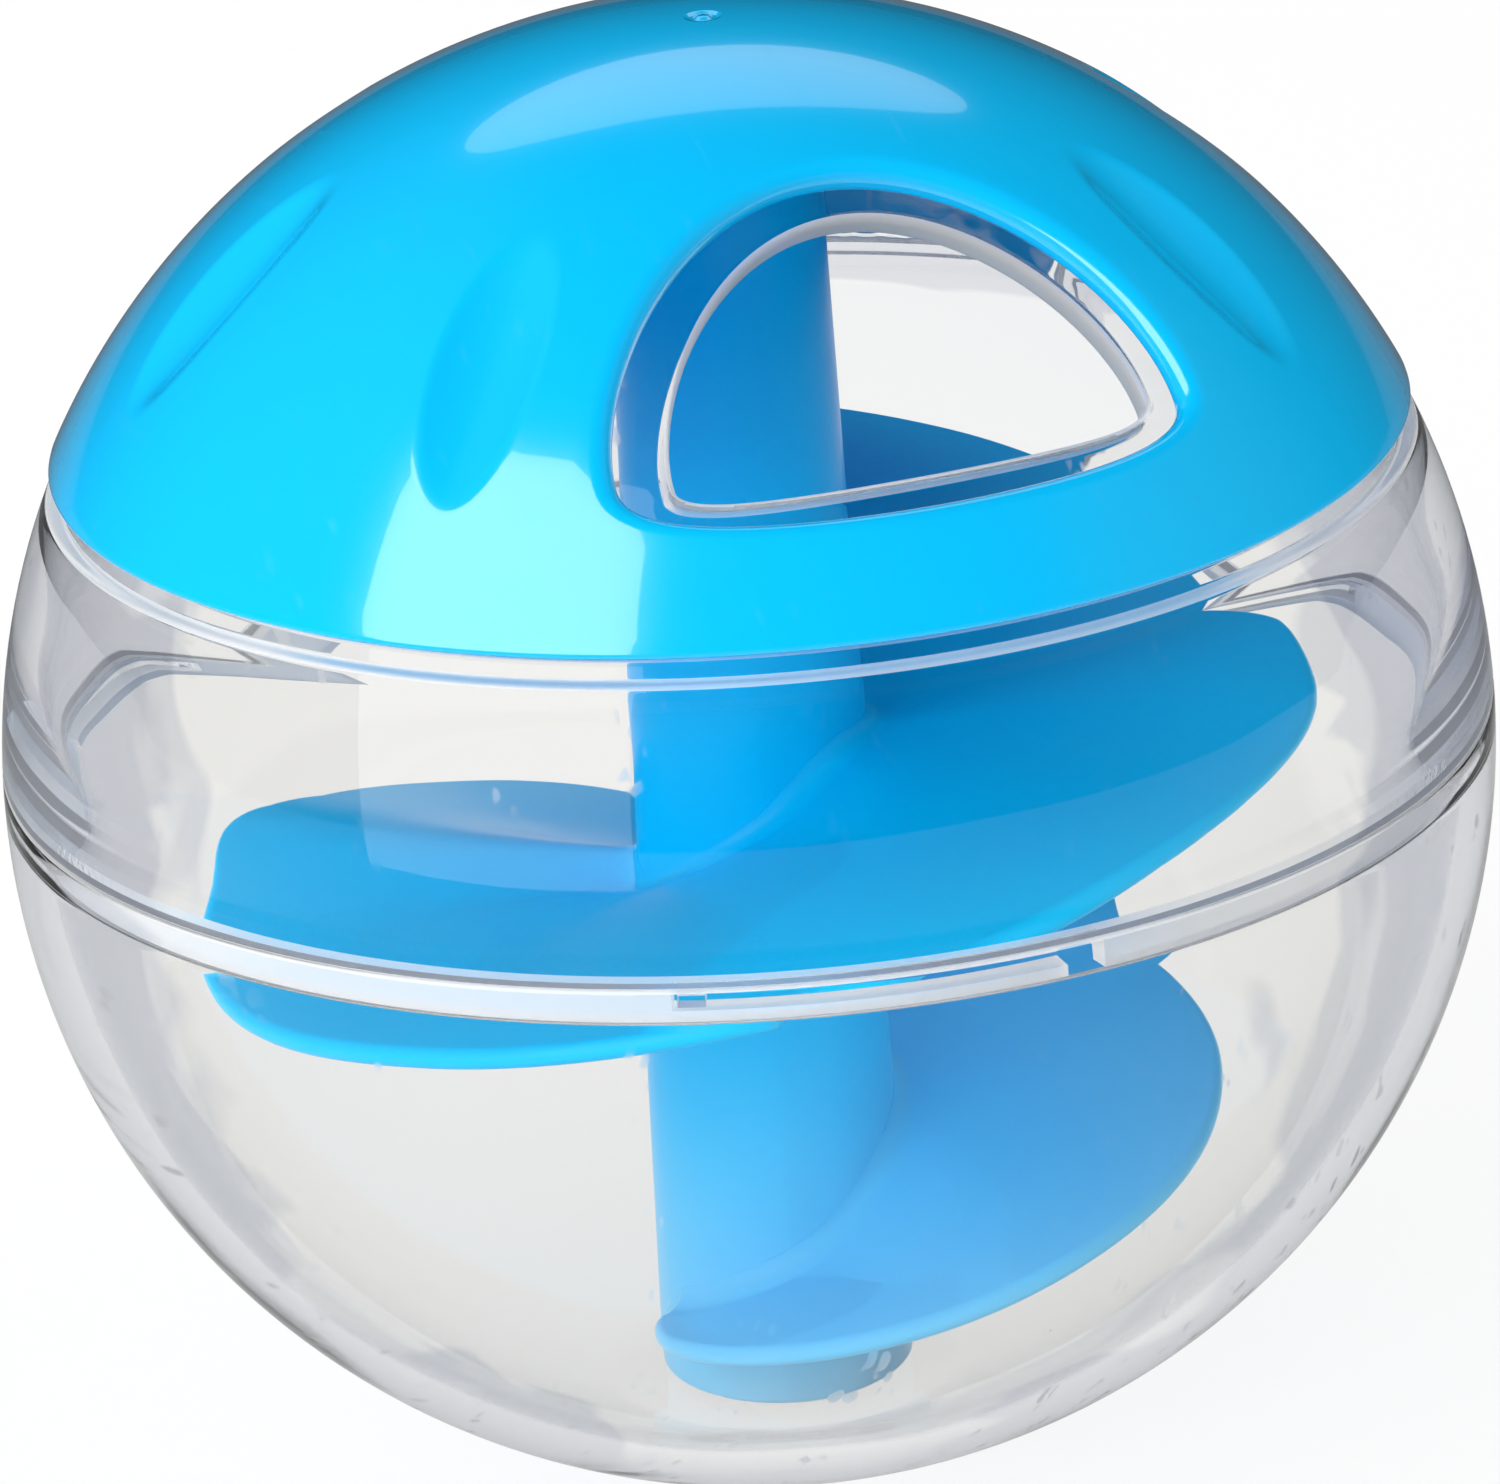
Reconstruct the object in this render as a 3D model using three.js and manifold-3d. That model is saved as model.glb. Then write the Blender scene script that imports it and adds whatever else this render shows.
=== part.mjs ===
// Treat ball for cats: a clear ball in two halves that twist together, a blue cap that turns on
// its dome to open or close the treat opening, and a blue spiral ramp on a post inside.
// Millimetres, +Z up. The origin is the middle of the standing flat under the ball, and the treat
// opening faces -Y. Heights called "above the middle" count from the centre of the ball.
import * as THREE from "three";
import { mergeVertices } from "three/addons/utils/BufferGeometryUtils.js";
import Module from "manifold-3d";

const wasm = await Module();
wasm.setup();

// Whole ball
const BALL_RADIUS = 40;
const STANDING_FLAT_RADIUS = 10;
const SHELL_WALL = 1.8;
const FIT = 0.3; // gap between pieces that touch, slide or turn on each other

// Twist lock between the two shells: a spigot on the upper shell with L-shaped slots,
// and lugs inside the rim of the lower shell
const JOINT_HEIGHT = 1.9; // parting line above the middle
const RIM_WALL = 1.1; // lower shell's wall beside the spigot
const SPIGOT_WALL = 1.2;
const SPIGOT_DEPTH = 2.1; // below the parting line
const COLLAR_RISE = 2.4; // thickened wall above the parting line
const LUG_COUNT = 3;
const LUG_WIDTH = 1.4;
const LUG_HEIGHT = 0.6;
const LUG_REACH = 1.1; // inwards from the rim
const LUG_DROP = 0.6; // from the parting line to the top of a lug
const LUG_ANGLE = THREE.MathUtils.degToRad(-114); // first lug, locked
const TWIST = THREE.MathUtils.degToRad(30); // turn that brings the slots' mouths to the lugs

// Shoulder and dome of the upper shell, under the cap
const SHOULDER_DROP = 1.3; // from the ledge that the cap sits on down to the shoulder's edge
const SHOULDER_STEP = 0.7; // inwards, above the shoulder's edge
const SHOULDER_ROUND = 0.3;
const DOME_WALL = 1.6;

// Cap
const CAP_PROUD = 0.5; // the cap stands this far outside the ball
const CAP_WALL = 1.8;
const CAP_EDGE_HEIGHT = 18; // above the middle
const CAP_EDGE_ROUND = 0.5;
const PIVOT_CATCH = 0.6; // overlap of the pivot's head under the dome
const PIVOT_HEAD = 1.3;

// Treat opening, a rounded triangle measured on the plane square to the cap at its middle
const OPENING_LATITUDE = THREE.MathUtils.degToRad(48);
const OPENING_WIDTH = 30;
const OPENING_BELOW = 8.1; // from its middle down to the lower edge
const OPENING_ABOVE = 11.5; // from its middle up to the crown
const OPENING_WIDEST = 3.2; // the widest place, below its middle
const OPENING_ROLL = 1.4; // radius of its rolled edge
const DOME_OPENING_INSET = 2.3; // the dome's opening is smaller by this much at the sides and below
const DOME_OPENING_RISE = 0.5; // and its crown is this much nearer the cap's
const DOME_OPENING_ROLL = 0.5;
const DOME_OPENING_TURN = THREE.MathUtils.degToRad(1.6); // the cap stands this little off
const LOWER_EDGE_FULLNESS = 0.5; // how long each edge keeps its direction, of the way to its corner
const LOWER_CORNER_FULLNESS = 0.6;
const SIDE_FULLNESS = 0.36;
const CROWN_FULLNESS = 0.54;

// Finger flutes in the cap: the opening takes one place of this even ring
const FLUTE_PLACES = 8;
const FLUTE_LATITUDE = THREE.MathUtils.degToRad(48);
const FLUTE_LENGTH = 20;
const FLUTE_WIDTH = 5.8;
const FLUTE_DEPTH = 1.1;

// Post of the spiral, a tapered tube on a boss of the lower shell
const POST_FOOT_RADIUS = 7;
const POST_TOP_RADIUS = 5.6;
const POST_WALL = 1.6;
const BOSS_HEIGHT = 6;
const BOSS_WALL = 1.6;

// Ramp round the post. It climbs anticlockwise seen from above, through these heights above the
// floor of the ball, which lie at even steps of angle from its start to its end. Half-way up, on the
// left, it dips a little, which makes a pocket for the treats.
const RAMP_START = THREE.MathUtils.degToRad(-165);
const RAMP_END = THREE.MathUtils.degToRad(445);
const RAMP_HEIGHTS = [
  4.9, 6.8, 9.2, 12.8, 15.2, 17.2, 20.0, 25.2, 29.4, 27.7, 30.0, 33.4, 36.6, 38.0, 39.8, 43.9, 46.3,
];
const RAMP_RADIUS = 30.5;
const RAMP_WALL_GAP = 5; // from its edge to the wall, where the ball is narrower than the ramp
const RAMP_THICKNESS = 1.2;
const RAMP_END_ROUND = 5;

// Fineness of the round surfaces
const ROUND_SIDES = 48;
const POST_SIDES = 24;
const ARC_STEP = THREE.MathUtils.degToRad(7.5);
const RAMP_STEPS = 96;
const OUTLINE_STEPS = 10;
const ROLL_STEPS = 3;
const FLUTE_SIDES = 16;
const FLUTE_RINGS = 12;
const SAME_POINT = 1e-4; // points nearer than this are one point

// Sizes that follow from the ones above
const MIDDLE = Math.sqrt(BALL_RADIUS ** 2 - STANDING_FLAT_RADIUS ** 2);
const INSIDE_RADIUS = BALL_RADIUS - SHELL_WALL;
const FLOOR = SHELL_WALL - MIDDLE;
const RIM_TOP = JOINT_HEIGHT - FIT / 2;
const BAND_BOTTOM = JOINT_HEIGHT + FIT / 2;
const RIM_INSIDE = BALL_RADIUS - RIM_WALL;
const SPIGOT_OUTSIDE = RIM_INSIDE - FIT;
const SPIGOT_INSIDE = SPIGOT_OUTSIDE - SPIGOT_WALL;
const SPIGOT_BOTTOM = JOINT_HEIGHT - SPIGOT_DEPTH;
const COLLAR_TOP = JOINT_HEIGHT + COLLAR_RISE;
const LUG_TOP = JOINT_HEIGHT - LUG_DROP;
const LUG_BOTTOM = LUG_TOP - LUG_HEIGHT;
const CAP_RADIUS = BALL_RADIUS + CAP_PROUD;
const CAP_INSIDE = CAP_RADIUS - CAP_WALL;
const DOME_RADIUS = CAP_INSIDE - FIT;
const DOME_INSIDE = DOME_RADIUS - DOME_WALL;
const LEDGE_HEIGHT = CAP_EDGE_HEIGHT - FIT;
const SHOULDER_HEIGHT = LEDGE_HEIGHT - SHOULDER_DROP;
const POST_BORE_FOOT = POST_FOOT_RADIUS - POST_WALL;
const POST_BORE_TOP = POST_TOP_RADIUS - POST_WALL;
const POST_BOTTOM = FLOOR + FIT;
const POST_TOP = heightOn(DOME_INSIDE, POST_TOP_RADIUS) - FIT;
const PIVOT_HEAD_RADIUS = POST_BORE_TOP - 2 * FIT;
const PIVOT_HOLE = PIVOT_HEAD_RADIUS - PIVOT_CATCH;
const PIVOT_RADIUS = PIVOT_HOLE - FIT;

// Height above the middle of a sphere's surface at a distance from the axis, and the reverse
function heightOn(sphereRadius, distance) {
  return Math.sqrt(sphereRadius ** 2 - distance ** 2);
}

function distanceOn(sphereRadius, height) {
  return Math.sqrt(sphereRadius ** 2 - height ** 2);
}

// Profile points along a sphere between two heights above the middle
function sphereArc(sphereRadius, fromHeight, toHeight) {
  const from = Math.asin(fromHeight / sphereRadius);
  const to = Math.asin(toHeight / sphereRadius);
  const steps = Math.max(1, Math.round(Math.abs(to - from) / ARC_STEP));
  const points = [];
  for (let i = 0; i <= steps; i++) {
    const latitude = from + ((to - from) * i) / steps;
    points.push([sphereRadius * Math.cos(latitude), sphereRadius * Math.sin(latitude)]);
  }
  return points;
}

// Revolves a profile of [distance, height] pairs about the ball's axis
function revolve(profile, sides) {
  const points = profile.map(([distance, height]) => new THREE.Vector2(distance, height));
  const geometry = new THREE.LatheGeometry(points, sides);
  geometry.rotateX(Math.PI / 2);
  return solidOf(geometry);
}

// Joins a geometry's vertices into one closed solid for cutting and joining
function solidOf(geometry) {
  geometry.deleteAttribute("normal");
  geometry.deleteAttribute("uv");
  const merged = mergeVertices(geometry, SAME_POINT);
  const corners = merged.index.array;
  const triangles = [];
  for (let i = 0; i < corners.length; i += 3) {
    const [a, b, c] = corners.slice(i, i + 3);
    if (a !== b && b !== c && c !== a) triangles.push(a, b, c);
  }
  const vertProperties = new Float32Array(merged.attributes.position.array);
  const triVerts = new Uint32Array(triangles);
  return new wasm.Manifold(new wasm.Mesh({ numProp: 3, vertProperties, triVerts }));
}

// Stretch of a ring between two radii, two angles and two heights
function ringSector(inside, outside, fromAngle, toAngle, bottom, top) {
  const shape = new THREE.Shape();
  shape.absarc(0, 0, outside, fromAngle, toAngle, false);
  shape.absarc(0, 0, inside, toAngle, fromAngle, true);
  const settings = { depth: top - bottom, bevelEnabled: false, curveSegments: OUTLINE_STEPS };
  const geometry = new THREE.ExtrudeGeometry(shape, settings);
  geometry.translate(0, 0, bottom);
  return solidOf(geometry);
}

// Rounded triangle of the treat opening, drawn in by an inset, with its crown raised
function openingOutline(inset, rise) {
  const half = OPENING_WIDTH / 2 - inset;
  const low = -OPENING_BELOW + inset;
  const high = OPENING_ABOVE - inset + rise;
  const wide = -OPENING_WIDEST;
  const lowHandle = half * LOWER_EDGE_FULLNESS;
  const cornerHandle = wide + (low - wide) * LOWER_CORNER_FULLNESS;
  const sideHandle = wide + (high - wide) * SIDE_FULLNESS;
  const crownHandle = half * CROWN_FULLNESS;
  const shape = new THREE.Shape();
  shape.moveTo(0, low);
  shape.bezierCurveTo(lowHandle, low, half, cornerHandle, half, wide);
  shape.bezierCurveTo(half, sideHandle, crownHandle, high, 0, high);
  shape.bezierCurveTo(-crownHandle, high, -half, sideHandle, -half, wide);
  shape.bezierCurveTo(-half, cornerHandle, -lowHandle, low, 0, low);
  return shape.getPoints(OUTLINE_STEPS).slice(0, -1);
}

// Cutter for the opening through one wall: sides square to the ball at the opening's middle,
// and an edge rolled over at the wall's outer face
function openingCutter(inset, rise, outside, roll, turned) {
  const flat = (drawnIn, height) => openingOutline(drawnIn, rise).map(({ x, y }) => [x, y, height]);
  const onSphere = (drawnIn, radius) => openingOutline(drawnIn, rise).map(({ x, y }) => [
    x,
    y,
    heightOn(radius, Math.hypot(x, y)),
  ]);
  const sections = [flat(inset - roll, CAP_RADIUS + CAP_WALL)];
  for (let i = 0; i <= ROLL_STEPS; i++) {
    const turn = ((Math.PI / 2) * i) / ROLL_STEPS;
    const drawnIn = inset - roll * (1 - Math.sin(turn));
    sections.push(onSphere(drawnIn, outside - roll * (1 - Math.cos(turn))));
  }
  sections.push(flat(inset, DOME_INSIDE / 2));
  const geometry = loft(sections);
  geometry.rotateX(Math.PI / 2 - OPENING_LATITUDE);
  geometry.rotateZ(turned);
  return solidOf(geometry);
}

// Long shallow scoop for one finger flute
function fluteCutter(place) {
  const geometry = new THREE.SphereGeometry(1, FLUTE_SIDES, FLUTE_RINGS);
  geometry.scale(FLUTE_WIDTH / 2, FLUTE_LENGTH / 2, FLUTE_DEPTH);
  geometry.translate(0, 0, CAP_RADIUS);
  geometry.rotateX(Math.PI / 2 - FLUTE_LATITUDE);
  geometry.rotateZ((2 * Math.PI * place) / FLUTE_PLACES);
  return solidOf(geometry);
}

// Cap with its pivot, opening and flutes
function gripCap() {
  const headTop = heightOn(DOME_INSIDE, PIVOT_HEAD_RADIUS) - FIT;
  const headBottom = headTop - PIVOT_HEAD;
  const edgeOutside = distanceOn(CAP_RADIUS, CAP_EDGE_HEIGHT + CAP_EDGE_ROUND);
  const profile = [
    [0, headBottom],
    [PIVOT_HEAD_RADIUS - PIVOT_CATCH, headBottom],
    [PIVOT_HEAD_RADIUS, headTop - PIVOT_HEAD / 2],
    [PIVOT_HEAD_RADIUS, headTop],
    [PIVOT_RADIUS, headTop],
    ...sphereArc(CAP_INSIDE, heightOn(CAP_INSIDE, PIVOT_RADIUS), CAP_EDGE_HEIGHT),
  ];
  for (let i = 0; i < ROLL_STEPS; i++) {
    const turn = ((Math.PI / 2) * i) / ROLL_STEPS;
    const inwards = CAP_EDGE_ROUND * (1 - Math.sin(turn));
    profile.push([edgeOutside - inwards, CAP_EDGE_HEIGHT + CAP_EDGE_ROUND * (1 - Math.cos(turn))]);
  }
  profile.push(...sphereArc(CAP_RADIUS, CAP_EDGE_HEIGHT + CAP_EDGE_ROUND, CAP_RADIUS));
  let cap = revolve(profile, ROUND_SIDES).subtract(openingCutter(0, 0, CAP_RADIUS, OPENING_ROLL, 0));
  for (let place = 1; place < FLUTE_PLACES; place++) {
    cap = cap.subtract(fluteCutter(place));
  }
  return cap;
}

// Upper shell: spigot, clear band, shoulder and the dome under the cap
function upperShell() {
  const stepInside = BALL_RADIUS - SHOULDER_STEP;
  const stepHeight = SHOULDER_HEIGHT + SHOULDER_ROUND;
  const profile = [
    [SPIGOT_INSIDE, SPIGOT_BOTTOM],
    [SPIGOT_OUTSIDE, SPIGOT_BOTTOM],
    [SPIGOT_OUTSIDE, BAND_BOTTOM],
    ...sphereArc(BALL_RADIUS, BAND_BOTTOM, SHOULDER_HEIGHT),
    [distanceOn(BALL_RADIUS, stepHeight) - SHOULDER_ROUND, stepHeight],
    ...sphereArc(stepInside, stepHeight + SHOULDER_ROUND, LEDGE_HEIGHT),
    ...sphereArc(DOME_RADIUS, LEDGE_HEIGHT, heightOn(DOME_RADIUS, PIVOT_HOLE)),
    ...sphereArc(DOME_INSIDE, heightOn(DOME_INSIDE, PIVOT_HOLE), LEDGE_HEIGHT),
    ...sphereArc(INSIDE_RADIUS, SHOULDER_HEIGHT - SHELL_WALL, COLLAR_TOP),
    [SPIGOT_INSIDE, COLLAR_TOP - SHELL_WALL / 2],
    [SPIGOT_INSIDE, SPIGOT_BOTTOM],
  ];
  const opening = openingCutter(
    DOME_OPENING_INSET,
    DOME_OPENING_RISE,
    DOME_RADIUS,
    DOME_OPENING_ROLL,
    DOME_OPENING_TURN,
  );
  let shell = revolve(profile, ROUND_SIDES).subtract(opening);
  const halfMouth = (LUG_WIDTH / 2 + FIT) / SPIGOT_INSIDE;
  for (let i = 0; i < LUG_COUNT; i++) {
    const locked = LUG_ANGLE + (2 * Math.PI * i) / LUG_COUNT;
    const mouth = locked + TWIST;
    const inside = SPIGOT_INSIDE - SPIGOT_WALL;
    const top = LUG_TOP + FIT;
    const bottom = LUG_BOTTOM - FIT;
    const run = ringSector(inside, BALL_RADIUS, locked - halfMouth, mouth + halfMouth, bottom, top);
    const below = SPIGOT_BOTTOM - SPIGOT_WALL;
    const entry = ringSector(inside, BALL_RADIUS, mouth - halfMouth, mouth + halfMouth, below, top);
    shell = shell.subtract(run).subtract(entry);
  }
  return shell;
}

// Lower shell: bowl with a standing flat, a rebated rim with lugs, and a ring boss for the post
function lowerShell() {
  const rebateFloor = SPIGOT_BOTTOM - FIT;
  const bossOutside = POST_BORE_FOOT - FIT - (POST_FOOT_RADIUS - POST_TOP_RADIUS) * taperShare(BOSS_HEIGHT);
  const bossTop = FLOOR + BOSS_HEIGHT;
  const profile = [
    [0, -MIDDLE],
    ...sphereArc(BALL_RADIUS, -MIDDLE, 0),
    [distanceOn(BALL_RADIUS, RIM_TOP), RIM_TOP],
    [RIM_INSIDE, RIM_TOP],
    [RIM_INSIDE, rebateFloor],
    ...sphereArc(INSIDE_RADIUS, rebateFloor, FLOOR),
    [bossOutside, FLOOR],
    [bossOutside, bossTop],
    [bossOutside - BOSS_WALL, bossTop],
    [bossOutside - BOSS_WALL, FLOOR],
    [0, FLOOR],
  ];
  let shell = revolve(profile, ROUND_SIDES);
  const lugInside = RIM_INSIDE - LUG_REACH;
  const lugRoot = RIM_INSIDE + RIM_WALL / 2;
  const halfLug = LUG_WIDTH / 2 / RIM_INSIDE;
  for (let i = 0; i < LUG_COUNT; i++) {
    const angle = LUG_ANGLE + (2 * Math.PI * i) / LUG_COUNT;
    const lug = ringSector(lugInside, lugRoot, angle - halfLug, angle + halfLug, LUG_BOTTOM, LUG_TOP);
    shell = shell.add(lug);
  }
  return shell;
}

// Share of the post's taper that is used up at a height above the floor
function taperShare(heightAboveFloor) {
  return (FLOOR + heightAboveFloor - POST_BOTTOM) / (POST_TOP - POST_BOTTOM);
}

// Spiral: the tapered tube of the post, joined with the ramp
function spiralMaze() {
  const profile = [
    [POST_BORE_FOOT, POST_BOTTOM],
    [POST_FOOT_RADIUS, POST_BOTTOM],
    [POST_TOP_RADIUS, POST_TOP],
    [POST_BORE_TOP, POST_TOP],
    [POST_BORE_FOOT, POST_BOTTOM],
  ];
  return revolve(profile, POST_SIDES).add(ramp());
}

// Distance from the axis to the ramp's edge at a height above the middle, before its ends are rounded
function rampReach(height) {
  const besideWall = INSIDE_RADIUS - RAMP_WALL_GAP;
  return Math.min(RAMP_RADIUS, distanceOn(besideWall, height));
}

// Ramp as a row of thin radial sections, rounded off at both ends
function ramp() {
  const steps = RAMP_HEIGHTS.map((height, i) => new THREE.Vector2(i, FLOOR + height));
  const climb = new THREE.SplineCurve(steps);
  const half = RAMP_THICKNESS / 2;
  const bevel = RAMP_THICKNESS / 4;
  const sections = [];
  for (let i = 0; i <= RAMP_STEPS; i++) {
    const along = i / RAMP_STEPS;
    const angle = RAMP_START + (RAMP_END - RAMP_START) * along;
    const height = climb.getPoint(along).y;
    const taper = (POST_FOOT_RADIUS - POST_TOP_RADIUS) * taperShare(height - FLOOR);
    const post = POST_FOOT_RADIUS - taper;
    const reach = rampReach(height);
    const round = Math.min(RAMP_END_ROUND, (reach - post) / 2);
    const toEnd = Math.min(angle - RAMP_START, RAMP_END - angle) * reach;
    const short = Math.max(0, round - toEnd);
    const edge = reach - round + Math.sqrt(round ** 2 - short ** 2);
    const root = post - POST_WALL / 2;
    const outline = [
      [root, -half],
      [edge - bevel, -half],
      [edge, -half + bevel],
      [edge, half - bevel],
      [edge - bevel, half],
      [root, half],
    ];
    sections.push(outline.map(([distance, lift]) => [
      distance * Math.cos(angle),
      distance * Math.sin(angle),
      height + lift,
    ]));
  }
  return solidOf(loft(sections));
}

// Closed skin over a row of like sections, with a flat cap on the first and the last
function loft(sections) {
  const count = sections[0].length;
  const position = new Float32Array(sections.flat(2));
  const index = [];
  for (let s = 0; s + 1 < sections.length; s++) {
    for (let k = 0; k < count; k++) {
      const a = s * count + k;
      const b = s * count + ((k + 1) % count);
      index.push(a, a + count, b, b, a + count, b + count);
    }
  }
  const last = (sections.length - 1) * count;
  for (let k = 1; k + 1 < count; k++) {
    index.push(0, k, k + 1);
    index.push(last, last + k + 1, last + k);
  }
  const geometry = new THREE.BufferGeometry();
  geometry.setAttribute("position", new THREE.BufferAttribute(position, 3));
  geometry.setIndex(index);
  return geometry;
}

// Named mesh of a finished solid, with its own material
function piece(name, solid, look) {
  const { vertProperties, triVerts } = solid.getMesh();
  const geometry = new THREE.BufferGeometry();
  geometry.setAttribute("position", new THREE.BufferAttribute(vertProperties, 3));
  geometry.setIndex(new THREE.BufferAttribute(triVerts, 1));
  geometry.computeVertexNormals();
  const mesh = new THREE.Mesh(geometry, new THREE.MeshStandardMaterial(look));
  mesh.name = name;
  return mesh;
}

const clearLook = { color: 0xe4eaec, roughness: 0.08, metalness: 0, transparent: true, opacity: 0.3 };
const capLook = { color: 0x05b9f4, roughness: 0.22, metalness: 0 };
const mazeLook = { color: 0x1f9fe6, roughness: 0.3, metalness: 0 };

const ball = new THREE.Group();
ball.position.z = MIDDLE;
ball.add(piece("lower_shell", lowerShell(), clearLook));
ball.add(piece("upper_shell", upperShell(), clearLook));
ball.add(piece("spiral_maze", spiralMaze(), mazeLook));
ball.add(piece("grip_cap", gripCap(), capLook));

export default ball;
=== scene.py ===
# %% [markdown]
# # Clear treat ball with a blue turning cap
#
# The real toy is four plastic mouldings: a clear bowl, a clear upper half that twists onto it, a blue
# cap that turns on the dome of that upper half, and a blue spiral ramp on a post inside. The frame
# from CAD gives their places and their motions. In this lesson each of them gets a finer skin, rounded
# edges and a plastic finish, and stays exactly where the frame has it. A line of sight through the ball
# crosses many clear faces, so light is followed for a few more bounces than usual.

import math

import bmesh
import bpy
import numpy as np
from mathutils import Matrix, Vector, geometry


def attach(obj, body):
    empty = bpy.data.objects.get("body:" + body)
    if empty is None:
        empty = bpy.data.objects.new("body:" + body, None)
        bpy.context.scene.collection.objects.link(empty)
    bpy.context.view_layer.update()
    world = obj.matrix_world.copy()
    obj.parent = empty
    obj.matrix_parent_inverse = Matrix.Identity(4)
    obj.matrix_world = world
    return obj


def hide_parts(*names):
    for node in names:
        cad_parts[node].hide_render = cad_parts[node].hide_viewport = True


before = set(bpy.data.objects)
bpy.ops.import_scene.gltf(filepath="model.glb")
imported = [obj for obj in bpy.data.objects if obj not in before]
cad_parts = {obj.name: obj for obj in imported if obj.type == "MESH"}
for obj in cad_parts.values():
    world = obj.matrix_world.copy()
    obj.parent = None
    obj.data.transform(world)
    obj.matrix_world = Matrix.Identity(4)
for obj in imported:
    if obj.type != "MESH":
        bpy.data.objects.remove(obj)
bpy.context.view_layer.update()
CLEAR_BOUNCES, GLOSS_BOUNCES = 16, 8
scene = bpy.context.scene
scene.view_settings.view_transform = "Standard"
scene.cycles.max_bounces = CLEAR_BOUNCES
scene.cycles.transmission_bounces = CLEAR_BOUNCES
scene.cycles.glossy_bounces = GLOSS_BOUNCES

# %% [markdown]
# ## Sizes shared by several pieces
#
# The pieces of a moulded toy fit each other with a small gap, so most sizes follow from a few. They are
# kept in millimetres and counted from the middle of the ball, as a mould maker would draw them, and are
# turned into metres only when a mesh is made. That keeps the numbers short enough to read.

# %% Shared sizes
MM = 0.001
FIT = 0.3
BALL_RADIUS = 40.0
STANDING_FLAT = 10.0
SHELL_WALL = 1.8
MIDDLE = math.sqrt(BALL_RADIUS**2 - STANDING_FLAT**2)
INSIDE_RADIUS = BALL_RADIUS - SHELL_WALL
FLOOR = SHELL_WALL - MIDDLE

JOINT_HEIGHT = 1.9
SEAM_GAP = 0.08
RIM_WALL = 1.1
SPIGOT_WALL, SPIGOT_DEPTH = 1.2, 2.1
RIM_TOP = JOINT_HEIGHT - SEAM_GAP / 2
BAND_BOTTOM = JOINT_HEIGHT + SEAM_GAP / 2
RIM_INSIDE = BALL_RADIUS - RIM_WALL
SPIGOT_OUTSIDE = RIM_INSIDE - FIT
SPIGOT_INSIDE = SPIGOT_OUTSIDE - SPIGOT_WALL
SPIGOT_BOTTOM = JOINT_HEIGHT - SPIGOT_DEPTH

CAP_PROUD, CAP_WALL, CAP_EDGE = 0.5, 1.8, 18.0
DOME_WALL = 1.6
CAP_RADIUS = BALL_RADIUS + CAP_PROUD
CAP_INSIDE = CAP_RADIUS - CAP_WALL
DOME_RADIUS = CAP_INSIDE - FIT
DOME_INSIDE = DOME_RADIUS - DOME_WALL
LEDGE = CAP_EDGE - FIT
PIVOT_HOLE, PIVOT_CATCH = 2.8, 0.6
PIVOT_RADIUS = PIVOT_HOLE - FIT
PIVOT_HEAD_RADIUS = PIVOT_HOLE + PIVOT_CATCH
print(f"ball {2 * BALL_RADIUS:.0f} mm across, its middle {MIDDLE:.2f} mm above the floor")

# %% [markdown]
# ## Camera
#
# The photograph looks a little down on the ball from the left of the treat opening, and the ball leans
# slightly to the left in it. A camera can be placed by eye, but here its distance, angles and lens were
# worked out from the outline of the ball, so it is built from a position and three directions. The aim
# is a hair off the middle of the ball, because the ball is not quite in the middle of the picture.

# %% Camera at the photograph's viewing angle
CAMERA_DISTANCE = 500.0
CAMERA_AZIMUTH = math.radians(-18.6)
CAMERA_ELEVATION = math.radians(20.65)
CAMERA_LEAN = math.radians(3.65)
CAMERA_LENS, SENSOR_WIDTH = 223.4, 36.0
AIM_RIGHT, AIM_UP = 0.054, -0.081

flat_right = Vector((math.cos(CAMERA_AZIMUTH), math.sin(CAMERA_AZIMUTH), 0))
towards_camera = Vector((
    math.sin(CAMERA_AZIMUTH) * math.cos(CAMERA_ELEVATION),
    -math.cos(CAMERA_AZIMUTH) * math.cos(CAMERA_ELEVATION),
    math.sin(CAMERA_ELEVATION),
))
straight_up = towards_camera.cross(flat_right)
view_right = flat_right * math.cos(CAMERA_LEAN) - straight_up * math.sin(CAMERA_LEAN)
view_up = straight_up * math.cos(CAMERA_LEAN) + flat_right * math.sin(CAMERA_LEAN)
ball_middle = Vector((0, 0, MIDDLE * MM))

camera_data = bpy.data.cameras.new("photo_camera")
camera_data.lens = CAMERA_LENS
camera_data.sensor_width = SENSOR_WIDTH
camera = bpy.data.objects.new("photo_camera", camera_data)
scene.collection.objects.link(camera)
aim = ball_middle + (view_right * AIM_RIGHT + view_up * AIM_UP) * MM
turned = Matrix((view_right, view_up, towards_camera)).transposed().to_4x4()
camera.matrix_world = Matrix.Translation(aim + towards_camera * CAMERA_DISTANCE * MM) @ turned
scene.camera = camera
print("camera at", [round(c, 3) for c in camera.location])

# %% [markdown]
# ## A skin to build on
#
# Every moulding here is a thin wall with an outer and an inner face. It could be made by solidifying a
# sheet, but then the rims could not have their own shape. So each piece is one closed skin: rows of
# points that are bridged with faces, as with Blender's Bridge Edge Loops. `Skin` keeps the points
# and faces until the mesh is made.

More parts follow.
